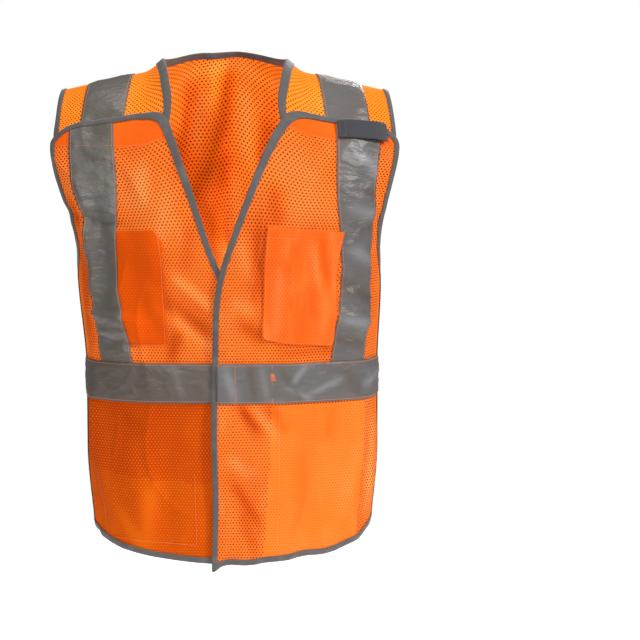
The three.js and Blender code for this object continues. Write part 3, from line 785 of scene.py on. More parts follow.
class Look:
    """A procedural material, with patterns drawn at each point's flat place, in millimetres."""

    def __init__(self, name, color, roughness, sheen=0.0, metallic=0.0, specular=0.5,
                 sheen_tint=(1, 1, 1)):
        self.material = bpy.data.materials.new(name)
        self.material.use_nodes = True
        self.tree = self.material.node_tree
        self.shader = self.tree.nodes["Principled BSDF"]
        self.set(self.shader, {
            "Base Color": (*color, 1), "Roughness": roughness, "Metallic": metallic,
            "Sheen Weight": sheen, "Sheen Roughness": 0.5, "Specular IOR Level": specular,
            "Sheen Tint": (*sheen_tint, 1),
        })
        self.flat = self.node("ShaderNodeAttribute")
        self.flat.attribute_name = "flat"
        self.color = color
        self.height = None

    def set(self, node, values):
        for key, value in values.items():
            node.inputs[key].default_value = value

    def node(self, kind, inputs=None, links=None, **settings):
        made = self.tree.nodes.new(kind)
        for key, value in settings.items():
            setattr(made, key, value)
        self.set(made, inputs or {})
        for key, source in (links or {}).items():
            self.tree.links.new(source, made.inputs[key])
        return made

    def maths(self, operation, *sources, inputs=None):
        return self.node(
            "ShaderNodeMath", inputs, dict(enumerate(sources)), operation=operation,
        ).outputs[0]

    def part(self, axis):
        """One part of the flat place. Z is the painted shade (-1) or painted highlight (1) there.
        """
        split = self.node("ShaderNodeSeparateXYZ", links={"Vector": self.flat.outputs["Vector"]})
        return split.outputs[axis]

    def scaled(self, across, down, turn=0.0):
        return self.node(
            "ShaderNodeMapping", {"Scale": (across, down, 0), "Rotation": (0, 0, turn)},
            {"Vector": self.flat.outputs["Vector"]},
        ).outputs["Vector"]

    def noise(self, across, down, detail=3.0, turn=0.0):
        return self.node(
            "ShaderNodeTexNoise", {"Scale": 1.0, "Detail": detail, "Roughness": 0.5},
            {"Vector": self.scaled(across, down, turn)},
        ).outputs["Fac"]

    def ribs(self, spacing, turn=0.0, wobble=0.0):
        """Ribs that lie spacing apart, across the flat cloth's width before the turn."""
        return self.node(
            "ShaderNodeTexWave",
            {"Scale": BANDS_PER_MM / spacing, "Distortion": wobble, "Detail Scale": 2.0},
            {"Vector": self.scaled(1, 1, turn)}, bands_direction="X",
        ).outputs["Fac"]

    def dots(self, across, down):
        """Staggered dots, 1 at their middles, with rows that lie half of down apart."""
        rows = (
            self.maths(
                "COSINE", self.maths("MULTIPLY", self.part(axis), inputs={1: 2 * math.pi / pitch}),
            )
            for axis, pitch in (("X", across), ("Y", down))
        )
        return self.maths("MULTIPLY", *rows)

    def spread(self, source, low, high, to_low=0.0, to_high=1.0):
        return self.node(
            "ShaderNodeMapRange",
            {"From Min": low, "From Max": high, "To Min": to_low, "To Max": to_high},
            {"Value": source},
        ).outputs["Result"]

    def tint(self, mask, color):
        """Mixes a colour into the base colour where the mask is 1."""
        mixer = self.node(
            "ShaderNodeMix", links={"Factor": mask}, data_type="RGBA", blend_type="MIX",
        )
        mixer.inputs[7].default_value = (*color, 1)
        base = self.shader.inputs["Base Color"]
        if base.is_linked:
            self.tree.links.new(base.links[0].from_socket, mixer.inputs[6])
        else:
            mixer.inputs[6].default_value = (*self.color, 1)
        self.tree.links.new(mixer.outputs[2], base)

    def patches(self, color, across, down, low, high, most=1.0, detail=3.0, turn=0.0):
        """Tints soft random patches: none where the noise is low, and most where it is high."""
        noise = self.noise(across, down, detail, turn)
        self.tint(self.spread(noise, low, high, 0, most), color)

    def paint_shade_or_highlight(self, color, sign, most):
        """Paints shade (sign -1) or a highlight (sign 1) in that colour, as far as Z reaches."""
        self.tint(self.spread(self.part("Z"), 0, sign, 0, most), color)

    def bump(self, source, distance, strength=1.0):
        """Adds relief of that depth, in millimetres."""
        made = self.node(
            "ShaderNodeBump", {"Strength": strength, "Distance": distance * MM}, {"Height": source},
        )
        if self.height is not None:
            self.tree.links.new(self.height, made.inputs["Normal"])
        self.height = made.outputs["Normal"]
        self.tree.links.new(self.height, self.shader.inputs["Normal"])

    def glow(self, strength, color):
        """A constant emission, whatever light falls on the piece: a painted glow on the orange
        cloth, an even white on the floor.
        """
        self.set(self.shader, {"Emission Color": (*color, 1), "Emission Strength": strength})


ORANGE = (1.0, 0.178, 0.020)
ORANGE_DEEP = (0.88, 0.115, 0.004)
# The paler colour also paints the highlight on the fronts' fold ridges.
ORANGE_PALE = (1.0, 0.31, 0.075)
POCKET_ORANGE = (1.0, 0.142, 0.016)
# The painted glow's colour, which also tints the sheen.
GLOW = (1.0, 0.26, 0.01)
# Tape: brown and silver patches of painted reflection, painted shade and a painted glint.
TAPE_GREY = (0.150, 0.140, 0.131)
TAPE_REFLECTED_BROWN = (0.145, 0.108, 0.095)
TAPE_REFLECTED_SILVER = (0.20, 0.20, 0.212)
TAPE_SHADE = (0.112, 0.085, 0.070)
TAPE_GLINT = (0.27, 0.27, 0.28)
BINDING_GREY = (0.092, 0.083, 0.078)
WEBBING_GREY = (0.034, 0.033, 0.042)


def mesh_look(name, color, deep, pale, glow, valley):
    look = Look(name, color, 0.85, sheen=0.15, specular=0.06, sheen_tint=GLOW)
    # A painted glow of that strength.
    look.glow(glow, GLOW)
    look.patches(deep, 0.02, 0.012, 0.35, 0.7, 0.55)
    look.patches(pale, 0.045, 0.02, 0.55, 0.75, 0.4, turn=0.4)
    knit = look.ribs(1.45, wobble=0.6)
    look.tint(look.spread(knit, 0.0, 0.45, 0.35, 0.0), deep)
    cord = look.ribs(2.3, 0.9, 0.3)
    look.tint(look.spread(cord, 0.5, 1.0, 0.0, 0.35), pale)
    look.tint(look.spread(cord, 0.5, 0.0, 0.0, 0.25), deep)
    # Painted shade in the folds' valleys and painted highlight on their ridges.
    look.paint_shade_or_highlight(valley, -1, 0.85)
    look.paint_shade_or_highlight(pale, 1, 0.8)
    # The painted glow takes the base colour, painted shade and highlight and all.
    if glow:
        shown = look.shader.inputs["Base Color"].links[0].from_socket
        look.tree.links.new(shown, look.shader.inputs["Emission Color"])
    look.bump(knit, 0.10, 0.7)
    look.bump(look.ribs(1.1, math.pi / 2, 0.8), 0.08, 0.6)
    look.bump(look.noise(1.4, 1.4, 2), 0.08, 0.5)
    return look.material


def hole_look(name, color, shade):
    """Faces in the mesh's holes: a painted shadow over the hollow vest, paler over a pocket's
    cloth.
    """
    look = Look(name, color, 0.9, specular=0.05)
    look.patches(shade, 0.03, 0.02, 0.4, 0.7)
    return look.material


def tricot_look(name, color):
    """The pockets' mesh, whose holes close over the cloth behind."""
    look = Look(name, color, 0.8, sheen=0.2, specular=0.08, sheen_tint=GLOW)
    # A faint painted glow.
    look.glow(0.04, GLOW)
    look.patches(ORANGE_DEEP, 0.03, 0.016, 0.35, 0.7, 0.45)
    look.patches(ORANGE_PALE, 0.06, 0.02, 0.5, 0.75, 0.45, turn=0.3)
    knit = look.ribs(0.85, wobble=0.4)
    look.tint(look.spread(knit, 0.0, 0.5, 0.4, 0.0), ORANGE_DEEP)
    # Painted shade and painted highlight, on the chest pocket along its folds.
    look.paint_shade_or_highlight((0.8, 0.085, 0.004), -1, 0.8)
    look.paint_shade_or_highlight((1.0, 0.27, 0.07), 1, 0.7)
    holes = look.dots(MESH_ACROSS, 2 * MESH_DOWN)
    look.tint(look.spread(holes, 0.45, 0.85, 0, 0.75), (0.6, 0.055, 0.002))
    look.bump(look.spread(holes, 0.4, 0.9, 1, 0), 0.25, 0.6)
    look.bump(knit, 0.07, 0.8)
    look.bump(look.ribs(0.7, math.pi / 2, 0.6), 0.05, 0.6)
    return look.material


def tape_look(name, patch):
    look = Look(name, TAPE_GREY, 0.5, metallic=0.1, specular=0.3)
    # Soft patches of painted reflection of the surroundings.
    look.patches(patch, 0.022, 0.016, 0.42, 0.66, 0.8, 1)
    look.patches(TAPE_REFLECTED_BROWN, 0.018, 0.012, 0.52, 0.75, 0.6, 1, 0.7)
    look.patches(TAPE_REFLECTED_SILVER, 0.02, 0.02, 0.55, 0.75, 0.6, 1, 1.2)
    # Painted shade and painted glints along the creases.
    look.paint_shade_or_highlight(TAPE_SHADE, -1, 0.85)
    look.paint_shade_or_highlight(TAPE_GLINT, 1, 0.8)
    rough = look.spread(look.noise(0.03, 0.05, 2), 0.3, 0.7, 0.33, 0.48)
    look.tree.links.new(rough, look.shader.inputs["Roughness"])
    look.bump(look.noise(0.05, 0.09, 5, 0.5), 3.2, 0.8)
    look.bump(look.noise(0.2, 0.35, 4, 1.0), 0.8, 0.6)
    look.bump(look.ribs(0.5, math.pi / 4), 0.02, 0.5)
    look.bump(look.ribs(0.5, -math.pi / 4), 0.02, 0.5)
    return look.material


def binding_look():
    look = Look("grey_binding", BINDING_GREY, 0.7, sheen=0.3, specular=0.35)
    look.patches((0.115, 0.100, 0.088), 0.03, 0.03, 0.4, 0.7, 0.5)
    look.patches((0.14, 0.14, 0.148), 0.05, 0.05, 0.5, 0.7, 0.5, 2, 0.9)
    look.bump(look.ribs(0.9, math.pi / 4, 0.3), 0.06, 0.6)
    look.bump(look.noise(0.25, 0.25, 3), 0.3, 0.3)
    return look.material


def webbing_look():
    look = Look("dark_webbing", WEBBING_GREY, 0.75, sheen=0.35, specular=0.35)
    rib = look.ribs(1.3, math.pi / 2, 0.2)
    look.tint(look.spread(rib, 0.4, 1.0, 0.0, 0.6), (0.062, 0.06, 0.072))
    look.bump(rib, 0.18, 0.9)
    look.bump(look.ribs(0.8), 0.06, 0.7)
    return look.material


def hook_look():
    look = Look(
        "orange_hook_and_loop", (0.92, 0.15, 0.010), 0.9, sheen=0.4, specular=0.06, sheen_tint=GLOW,
    )
    look.patches((0.75, 0.08, 0.004), 1.2, 1.2, 0.4, 0.65, 0.6, 2)
    look.bump(look.noise(1.6, 1.6, 3), 0.35, 1.0)
    return look.material


def thread_look(name, color):
    look = Look(name, color, 0.55, sheen=0.4)
    look.bump(look.ribs(0.28, 0.6), 0.05, 0.8)
    look.patches(tuple(0.75 * c for c in color), 0.8, 0.8, 0.4, 0.7, 0.4)
    return look.material


# Each mesh: its colour, its darker threads, its paler threads and painted highlight, its painted
# glow, and its painted shade in a fold's valley.
MESH = mesh_look("orange_mesh", ORANGE, ORANGE_DEEP, ORANGE_PALE, 0.12, (0.6, 0.065, 0.002))
# A brighter, yellower copy of the mesh, with a strong painted glow: painted light inside the V.
LIT_BACK_MESH = mesh_look(
    "back_mesh_painted_light", (1.0, 0.225, 0.012), (0.96, 0.172, 0.005), (1.0, 0.4, 0.07), 0.36,
    (0.6, 0.118, 0.002),
)
# The right front's chest, lower and hem looks are darker copies: cloth behind, and painted shade.
LINED, LINED_TOP, LINED_CHEST_SHADED, LOWER_MESH_SHADED, LINED_HEM_SHADED = (mesh_look(*each) for each in (
    ("lined_mesh", (1, 0.205, 0.024), (0.96, 0.16, 0.01), (1, 0.3, 0.07), 0.05, (0.8, 0.12, 0.005)),
    ("faced_mesh", (1, 0.13, 0.01), (0.9, 0.1, 0.004), (1, 0.2, 0.03), 0.04, (0.7, 0.075, 0.003)),
    ("pocket_mesh_painted_shade", (0.8, 0.08, 0.001), (0.66, 0.058, 0.001), (0.95, 0.13, 0.004), 0,
     (0.58, 0.05, 0.001)),
    ("shaded_mesh", (0.54, 0.056, 0.001), (0.44, 0.04, 0.001), (0.66, 0.085, 0.002), 0,
     (0.38, 0.035, 0.001)),
    ("warm_mesh_painted_shade", (0.58, 0.07, 0.001), (0.48, 0.05, 0.001), (0.78, 0.14, 0.003), 0,
     (0.4, 0.04, 0.001)),
))
# Painted shadow in the holes, darker on the back; the lined holes show pocket cloth.
HOLE_SHADOW = hole_look("mesh_hole_painted_shadow", (0.07, 0.006, 0.0003), (0.13, 0.012, 0.0005))
BACK_HOLE_SHADOW = hole_look("back_hole_painted_shadow", (0.04, 0.005, 0.0003), (0.09, 0.011, 0.0008))
PALE_HOLE = hole_look("lined_hole", (0.8, 0.12, 0.003), (0.9, 0.17, 0.006))
TRICOT = tricot_look("orange_tricot", POCKET_ORANGE)
# Each tape's patch colour is a painted reflection: grey, and olive on the right front.
TAPE = tape_look("reflective_tape", (0.14, 0.13, 0.13))
OLIVE_REFLECTION_TAPE = tape_look("reflective_tape_olive_reflection", (0.126, 0.124, 0.09))
BIAS = binding_look()
WEBBING = webbing_look()
HOOK = hook_look()
ORANGE_THREAD = thread_look("orange_thread", (0.95, 0.27, 0.06))
PALE_THREAD = thread_look("pale_grey_thread", (0.13, 0.125, 0.125))

# ---- Panels ----

BAND_MIDDLE = -(BAND_TOP + BAND_BOTTOM) / 2
back_upper, back_lower = (
    perforated(name, BACK, on_back, LIT_BACK_MESH, BACK_HOLE_SHADOW, "back", ["back_panel"], rows=rows)
    for name, rows in (
        ("back_panel", (BAND_MIDDLE, FAR)), ("back_skirt", (-FAR, BAND_MIDDLE)),
    )
)
# Where the fronts' mesh has a pocket or a facing behind it, or painted shade: the right front's
# chest, lower and hem looks are darker copies that hold painted shade.
LEFT_LOWER = [(52, 458), (184, 458), (181, 660), (42, 660)]
LEFT_TOP = [(40, 80), (200, 80), (200, 122), (120, 127), (40, 133)]
RIGHT_TOP = [(-200, 80), (-40, 80), (-40, 147), (-116, 136), (-200, 119)]
RIGHT_CHEST = [(-157, 241), (-88, 241), (-80, 250), (-84, 383), (-158, 383)]
RIGHT_LOWER = [(-260, 452), (60, 452), (60, 556), (-40, 556), (-120, 550), (-260, 530)]
RIGHT_HEM = [(-260, 530), (-120, 550), (-40, 556), (60, 556), (60, 680), (-260, 680)]
left_front = perforated(
    "left_front_panel", LEFT_FRONT, on_left_front, MESH, HOLE_SHADOW, "left_front", ["left_front_panel"],
    lined=[(LEFT_LOWER, LINED), (LEFT_TOP, LINED_TOP)],
)
right_front = perforated(
    "right_front_panel", RIGHT_FRONT, on_right_front, MESH, HOLE_SHADOW, "right_front",
    ["right_front_panel"],
    lined=[(RIGHT_CHEST, LINED_CHEST_SHADED), (RIGHT_LOWER, LOWER_MESH_SHADED), (RIGHT_HEM, LINED_HEM_SHADED),
           (RIGHT_TOP, LINED_TOP)],
)

# ---- Bindings ----

bindings = [
    ("neck_binding", NECK, on_back, "back", False),
    ("left_armhole_binding", LEFT_ARMHOLE, on_back, "back", False),
    ("right_armhole_binding", mirror(LEFT_ARMHOLE), on_back, "back", False),
    ("back_hem_binding", HEM, on_back, "back", False),
    ("left_front_binding", LEFT_FRONT, on_left_front, "left_front", True),
    ("right_front_binding", RIGHT_FRONT, on_right_front, "right_front", True),
]
BINDING_STITCH_INSET = 5.7
BINDING_TOP = 2.0
for name, path, base, body, closed in bindings:
    binding(name, path, base, BIAS, body, [name], closed)
    row = offset(resample(path, 2.5, closed), BINDING_STITCH_INSET, closed)
    rows = [(row, at(base, height), closed) for height in (BINDING_TOP, CLOTH - BINDING_TOP)]
    stitches(f"{name}_stitches", rows, PALE_THREAD, body, "edge_binding")

# ---- Reflective tape ----

TAPE_THICK = 0.35
TAPE_GAP = 0.35
BAND_STEP = 0.7
FRONT_TAPE = FRONT_HEIGHT + CLOTH + TAPE_GAP
FRONT_BAND = FRONT_TAPE + BAND_STEP
BACK_TAPE = CLOTH + TAPE_GAP
BACK_BAND = BACK_TAPE + BAND_STEP
SEWN = 9
SEAM_INSET = 2.2


def creases(seed, depth, calm):
    """Sharp little creases, always outwards, as stiff tape takes them. calm fades them to 0."""
    def crease(w, v):
        soft = waves(w, v, 38, seed, 0.6)
        sharp = 1 - np.abs(waves(w, v, 50, seed + 1, 0.45))
        return depth * calm(w, v) * (0.35 * (1 + soft) + 0.65 * np.maximum(sharp, 0) ** 6)
    return crease


def calm_band(w, v):
    """A band is sewn down along its upper and lower edges."""
    down = np.abs(v)
    upper = smooth(down, BAND_TOP, BAND_TOP + SEWN)
    return upper * (1 - smooth(down, BAND_BOTTOM - SEWN, BAND_BOTTOM))


def calm_strip(line, first, last):
    """A strip is sewn down along its sides, and lies flat before first and past last."""
    def calm(w, v):
        off = np.abs(np.abs(w) - line(v))
        middle = 1 - smooth(off, TAPE_WIDTH / 2 - SEWN, TAPE_WIDTH / 2)
        return middle * smooth(v, first - 16, first) * (1 - smooth(v, last, last + 12))
    return calm


def under_binding(w, v):
    """The front tapes start flat under the top binding, and rise to lie on the cloth."""
    return 0.43 * (smooth(v, 106, 118) - 1)


def pinched(grid):
    """Draws the tape's outer edge in where a fold of the right front takes up its width."""
    w, v = grid[..., 0].copy(), grid[..., 1]
    centre = w.mean(1, keepdims=True)
    share = smooth(v, 175, 235) * (1 - smooth(v, 330, 385))
    outer = w < centre
    w = np.where(outer, centre + (w - centre) * (1 - 0.42 * share), w)
    return pair(w, v)


def sides(grid, inset=SEAM_INSET):
    """The two long edges of a strip's grid, a little way in."""
    width = np.linalg.norm(grid[0, -1] - grid[0, 0])
    share = inset / width
    left = grid[:, 0] * (1 - share) + grid[:, -1] * share
    right = grid[:, -1] * (1 - share) + grid[:, 0] * share
    return [left, right]


def ends(grid, inset=SEAM_INSET):
    return sides(grid.transpose(1, 0, 2), inset)


def tape(name, grid, height, body, seed, calm, edges=sides, depth=1.8):
    crease = creases(seed, depth, calm)
    # The right front's tape takes the olive painted reflection.
    strip = slab(
        name, grid, height, TAPE_THICK, OLIVE_REFLECTION_TAPE if name.startswith("right") else TAPE, body,
        [name], crease, tape_shade,
    )

    def top(w, v):
        return height(w, v) + crease(w, v) + TAPE_THICK + 0.05

    seams = stitches(
        f"{name}_stitches", [(edge, top, False) for edge in edges(grid)], ORANGE_THREAD, body,
        "reflective_tape", *TAPE_SEAM,
    )
    return [strip, seams]


def lifted_foot(w, v):
    return lifted(w, v) + under_binding(w, v)


left_tape = strip_grid(front_tape_line, 100.5, BAND_TOP + 6, TAPE_WIDTH)
right_tape = pinched(left_tape[:, ::-1] * (-1, 1))
back_tape = strip_grid(back_tape_line, -BAND_TOP - 6, EXTENSION_END - 4, TAPE_WIDTH)
calm_front = calm_strip(front_tape_line, 124, BAND_TOP - 16)
calm_back = calm_strip(back_tape_line, 16 - BAND_TOP, 84)
BAND = (BAND_TOP, BAND_BOTTOM)
left_trim = tape(
    "left_front_tape", left_tape, at(lifted_foot, FRONT_TAPE), "left_front", 31, calm_front,
)
right_trim = tape(
    "right_front_tape", right_tape, at(under_binding, FRONT_TAPE), "right_front", 37, calm_front,
)
left_trim += tape(
    "left_front_waist_band", box_grid((-21, 246), BAND), at(lifted, FRONT_BAND), "left_front", 41,
    calm_band, ends,
)
right_trim += tape(
    "right_front_waist_band", box_grid((-246, 0), BAND), at(on_back, FRONT_BAND), "right_front", 43,
    calm_band, ends,
)
back_trim = tape(
    "left_back_tape", back_tape, at(on_back, BACK_TAPE), "back", 47, calm_back, depth=1.2,
)
back_trim += tape(
    "right_back_tape", back_tape[:, ::-1] * (-1, 1), at(on_back, BACK_TAPE), "back", 53, calm_back,
    depth=1.2,
)
back_trim += tape(
    "back_waist_band", box_grid((-244, 244), (-BAND_BOTTOM, -BAND_TOP)), at(on_back, BACK_BAND),
    "back", 59, calm_band, ends,
)

# ---- Hook and loop ----

STRIP_WS = (82, 166)
STRIP_VS = (112.5, 128.5)
SIDE_PATCH_WS = (246, 270)
PATCH_THICK = 0.8
# Heights of each patch's inner face: over the back's cloth, and under or over a front's.
LOOP_HEIGHT = 2.4
LOOP_THICK = 0.7
HOOK_HEIGHT = -1.6
SIDE_LOOP_HEIGHT = 1.5
SIDE_LOOP_THICK = 0.6
FRONT_LOOP_HEIGHT = 3.0
FRONT_HOOK_HEIGHT = FRONT_HEIGHT - 1.4


def hook_and_loop(name, grid, height, thick, body):
    slab(name, grid, height, thick, HOOK, body, [name])


for side, sign, base in (("left", 1, on_left_front), ("right", -1, on_right_front)):
    grid = box_grid(sorted(sign * w for w in STRIP_WS), STRIP_VS)
    hook_and_loop(f"{side}_shoulder_loop_strip", grid, at(on_back, LOOP_HEIGHT), LOOP_THICK, "back")
    hook_and_loop(
        f"{side}_shoulder_hook_strip", grid, at(base, HOOK_HEIGHT), PATCH_THICK, f"{side}_front",
    )
    grid = box_grid(sorted(sign * w for w in SIDE_PATCH_WS), (-BAND_BOTTOM + 4, -BAND_TOP - 4))
    hook_and_loop(
        f"{side}_side_loop_patch", grid, at(on_back, SIDE_LOOP_HEIGHT), SIDE_LOOP_THICK, "back",
    )
PATCH = box_grid((0, 34), (BAND_TOP + 3, BAND_BOTTOM - 3))
for name, height, body in (
    ("front_loop_patch", at(on_right_front, FRONT_LOOP_HEIGHT), "right_front"),
    ("front_hook_patch", at(lifted, FRONT_HOOK_HEIGHT), "left_front"),
):
    hook_and_loop(name, PATCH, height, PATCH_THICK, body)

# ---- Pockets ----

POCKET_THICK = 0.5


def pocket_grid(corners, round_corner=0.0, step=2.5):
    """A grid between four flat corners: top left, top right, bottom right, bottom left."""
    (tl, tr, br, bl) = (np.array(c, float) for c in corners)
    across = max(8, round(np.linalg.norm(tr - tl) / step))
    down = max(8, round(np.linalg.norm(bl - tl) / step))
    s = np.linspace(0, 1, across + 1)[None, :, None]
    t = np.linspace(0, 1, down + 1)[:, None, None]
    grid = (tl * (1 - s) + tr * s) * (1 - t) + (bl * (1 - s) + br * s) * t
    if round_corner:
        up = (1 - t[..., 0]) * np.linalg.norm(bl - tl)
        past = np.maximum(round_corner - up, 0)
        pull = round_corner - np.sqrt(np.maximum(round_corner**2 - past**2, 0))
        grid[..., 0] += pull * (1 - s[..., 0]) ** 3 - pull * s[..., 0] ** 3 * 0.4
        grid[..., 1] -= 0.35 * pull * (1 - s[..., 0]) ** 8
    return grid


def pocket_shape(grid, bulge, opening):
    """How far a pocket stands off the panel: sewn at its sides and foot, slack at its mouth."""
    rows, columns = grid.shape[:2]
    s = np.linspace(0, 1, columns)[None, :]
    t = np.linspace(0, 1, rows)[:, None]
    sewn = smooth(s, 0, 0.16) * (1 - smooth(s, 0.84, 1)) * (1 - smooth(t, 0.86, 1))
    belly = bulge * np.sin(math.pi * s) ** 0.6 * (0.55 + 0.45 * np.sin(math.pi * (0.15 + 0.75 * t)))
    mouth = opening * (1 - smooth(t, 0, 0.2)) * np.sin(math.pi * s)
    return sewn * (belly + mouth)


def pocket(name, grid, shape, base, side, body, folds=(), painted_shading=None):
    """A patch of cloth sewn to a panel; side is 1 outside the panel and -1 inside it."""
    inside = smooth(shape, 0.2, 1.5)
    rise = shape
    for each in folds:
        rise = rise + inside * fold(grid[..., 0], grid[..., 1], *each)
    rise = np.maximum(rise, 0.0)
    return slab(
        name, grid, lambda w, v: base(w, v) + side * rise, POCKET_THICK, TRICOT, body,
        [name], painted_shading=painted_shading,
    )


def frame_path(grid, inset):
    """The sewn edge of a pocket, a little way in from its sides and foot."""
    left, right = sides(grid, inset)
    foot = ends(grid, inset)[1]
    return np.vstack([left[:-1], foot[1:-1], right[::-1][1:]])


def on_grid(grid, values):
    """A height function that reads the nearest value of a grid, for seams sewn along it."""
    flat = grid.reshape(-1, 2)
    heights = values.reshape(-1)

    def read(w, v):
        points = pair(w, v).reshape(-1, 2)
        nearest = np.concatenate([
            ((flat[None, :, :] - part[:, None, :]) ** 2).sum(-1).argmin(1)
            for part in np.array_split(points, max(1, len(points) // 400))
        ])
        return heights[nearest].reshape(np.shape(w))

    return read


CHEST_BASE = FRONT_TAPE + 1.3
CHEST_BULGE = 3.6
CHEST_MOUTH = 2.0
CHEST_HEM = 5
LINING_HEIGHT = -0.9
LINING_BULGE = 4.0
LINING_MOUTH = 1.5
CHEST_FOLDS = [
    (92, 246, 78, 330, 6, 2.2), (108, 250, 112, 372, 7, 2.4), (124, 246, 128, 330, 5, 2.0),
    (70, 300, 62, 372, 8, 1.2), (100, 246, 99, 350, 5, -2.2),
]
chest = pocket_grid([(47, 237), (141, 242), (135, 384), (39, 378)], 12)
chest_shape = pocket_shape(chest, CHEST_BULGE, CHEST_MOUTH)
# The chest pocket's colour takes painted shade and painted highlight along its folds.
chest_pocket = pocket(
    "chest_pocket", chest, chest_shape, at(lifted, CHEST_BASE), 1, "left_front", CHEST_FOLDS,
    pocket_shade,
)

# Each inner pocket: its name, its corners, its flat size in metres, and its front.
INNER_POCKETS = (
    ("right_chest_pocket", [(-155, 241), (-82, 241), (-86, 383), (-158, 383)], (0.073, 0.142),
     "right_front"),
    ("left_lower_pocket", [(60, 458), (188, 462), (186, 634), (60, 636)], (0.128, 0.177),
     "left_front"),
    ("right_lower_pocket", [(-192, 548), (-50, 545), (-50, 636), (-188, 628)], (0.142, 0.09),
     "right_front"),
)
linings, lining_seams = [], []
for name, corners, size, body in INNER_POCKETS:
    base = on_left_front if body == "left_front" else on_right_front
    grid = pocket_grid(corners, 0, 3.5)
    shape = pocket_shape(grid, LINING_BULGE, LINING_MOUTH)
    linings.append(pocket(name, grid, shape, at(base, LINING_HEIGHT), -1, body))
    lining_seams.append((name, [(frame_path(grid, 1.5), at(base, CLOTH + 0.2), False)], body))
chest_rise = on_grid(chest, chest_shape)
chest_top = at(lifted, CHEST_BASE + POCKET_THICK)
pocket_seams = stitches(
    "chest_pocket_stitches",
    [(frame_path(chest, 2.0), chest_top, False),
     (chest[CHEST_HEM], lambda w, v: chest_top(w, v) + chest_rise(w, v), False)],
    ORANGE_THREAD, "left_front", "pocket_cloth", *CHEST_SEAM,
)
for name, lines, body in lining_seams:
    stitches(f"{name}_stitches", lines, ORANGE_THREAD, body, "pocket_cloth", *POCKET_SEAM)

# ---- Facings ----

def top_of(outline, ws):
    """The highest point of a closed outline on each line of constant w, as the smallest v."""
    w0, v0 = outline.T
    w1, v1 = np.roll(outline, -1, 0).T
    found = []
    for w in ws:
        crosses = (w0 > w) != (w1 > w)
        found.append((v0 + (w - w0) * (v1 - v0) / np.where(crosses, w1 - w0, 1))[crosses].min())
    return np.array(found)


TOP_FACING_HEIGHT = -0.5
TOP_FACING_THICK = 0.28
EDGE_FACING_HEIGHT = -0.8
EDGE_FACING_THICK = 0.4


def top_facing(name, outline, ws, foot, base, body):
    """A plain band of cloth behind a front's top edge, with a row of stitches along its foot."""
    edge = offset(outline, 4, closed=True)
    columns = np.linspace(*ws, 56)
    top = top_of(edge, columns)
    feet = foot(np.abs(columns))
    share = np.linspace(0, 1, 14)[:, None]
    v = top * (1 - share) + feet * share
    grid = pair(np.broadcast_to(columns, v.shape), v)
    band = slab(
        name, grid, at(base, TOP_FACING_HEIGHT), TOP_FACING_THICK, TRICOT, body,
    )
    row = pair(columns, feet - 1.6)

    def over_tape(w, v):
        centre = front_tape_line(v)
        on_tape = 1 - smooth(np.abs(np.abs(w) - centre), 24, 27)
        return base(w, v) + CLOTH + 0.25 + (FRONT_TAPE - FRONT_HEIGHT - CLOTH + 0.9) * on_tape

    line = stitches(
        f"{name}_stitches", [(row, over_tape, False)], ORANGE_THREAD, body, "mesh_fabric",
        *TOP_SEAM,
    )
    return [band, line]


left_foot = through([(40, 133), (120, 127), (200, 122)])
right_foot = through([(40, 147), (116, 136), (200, 119)])
left_trim += top_facing(
    "left_top_facing", LEFT_FRONT, (61, 180), left_foot, on_left_front, "left_front",
)
right_trim += top_facing(
    "right_top_facing", RIGHT_FRONT, (-176, -58), right_foot, on_right_front, "right_front",
)

rows = np.linspace(214, BAND_TOP + 4, 70)
share = np.linspace(0, 1, 14)[None, :]
inner = (left_edge(rows) + 5)[:, None]
outer = (44 - 34 * smooth(rows, 236, BAND_TOP))[:, None]
across = inner * (1 - share) + outer * share
facing_grid = pair(across, np.broadcast_to(rows[:, None], across.shape))
left_trim.append(slab(
    "left_front_facing", facing_grid, at(on_left_front, EDGE_FACING_HEIGHT), EDGE_FACING_THICK,
    TRICOT, "left_front",
))
left_trim.append(stitches(
    "left_front_facing_stitches", [(facing_grid[2:, -2], at(on_left_front, CLOTH + 0.1), False)],
    ORANGE_THREAD, "left_front", "mesh_fabric", *EDGE_SEAM,
))

# Two rows of stitches down the waist band hold the front patch, and a bar tack ends the outer one.
over_band = FRONT_BAND + TAPE_THICK + 0.75
band_top = at(lifted, over_band)
patch_rows = []
for w in (3, 52):
    vs = np.linspace(BAND_TOP + 3, BAND_BOTTOM - 2, 30)
    patch_rows.append((pair(np.full(30, float(w)), vs), band_top, False))
    patch_rows.append((pair(np.full(30, w + 1.1), vs + 1.5), band_top, False))
tack = [(50 + 8 * (i % 2) * (0.5 + i / 28), BAND_TOP + 10 + 0.8 * i) for i in range(15)]
for name, lines, sizes in (
    ("front_patch_stitches", patch_rows, PATCH_SEAM),
    ("front_bar_tack", [(np.array(tack), band_top, False)], TACK_SEAM),
):
    left_trim.append(
        stitches(name, lines, ORANGE_THREAD, "left_front", "reflective_tape", *sizes)
    )

# ---- Microphone tab ----

TAB_CENTRE = (143, 109)
TAB_TILT = 0.125
TAB_LENGTH = 67
TAB_WIDTH = 25
TAB_THICK = 1.6
TAB_HEIGHT = 12.8
TAB_FOOT = 6
TAB_STITCH_INSET = 2.2
TAB_BOX_LENGTH = 6.5
TAPE_TOP = 8


def tab_frame():
    """The tab's middle, and its directions along its length, its width and out from the chest."""
    w, v = TAB_CENTRE
    middle = skin(w, v, TAB_HEIGHT)
    across = unit(skin(w + 20, v - 20 * TAB_TILT, 0) - skin(w - 20, v + 20 * TAB_TILT, 0))
    out = skin(w, v, 1) - skin(w, v, 0)
    down = unit(np.cross(out, across))
    return middle, across, down, np.cross(across, down)


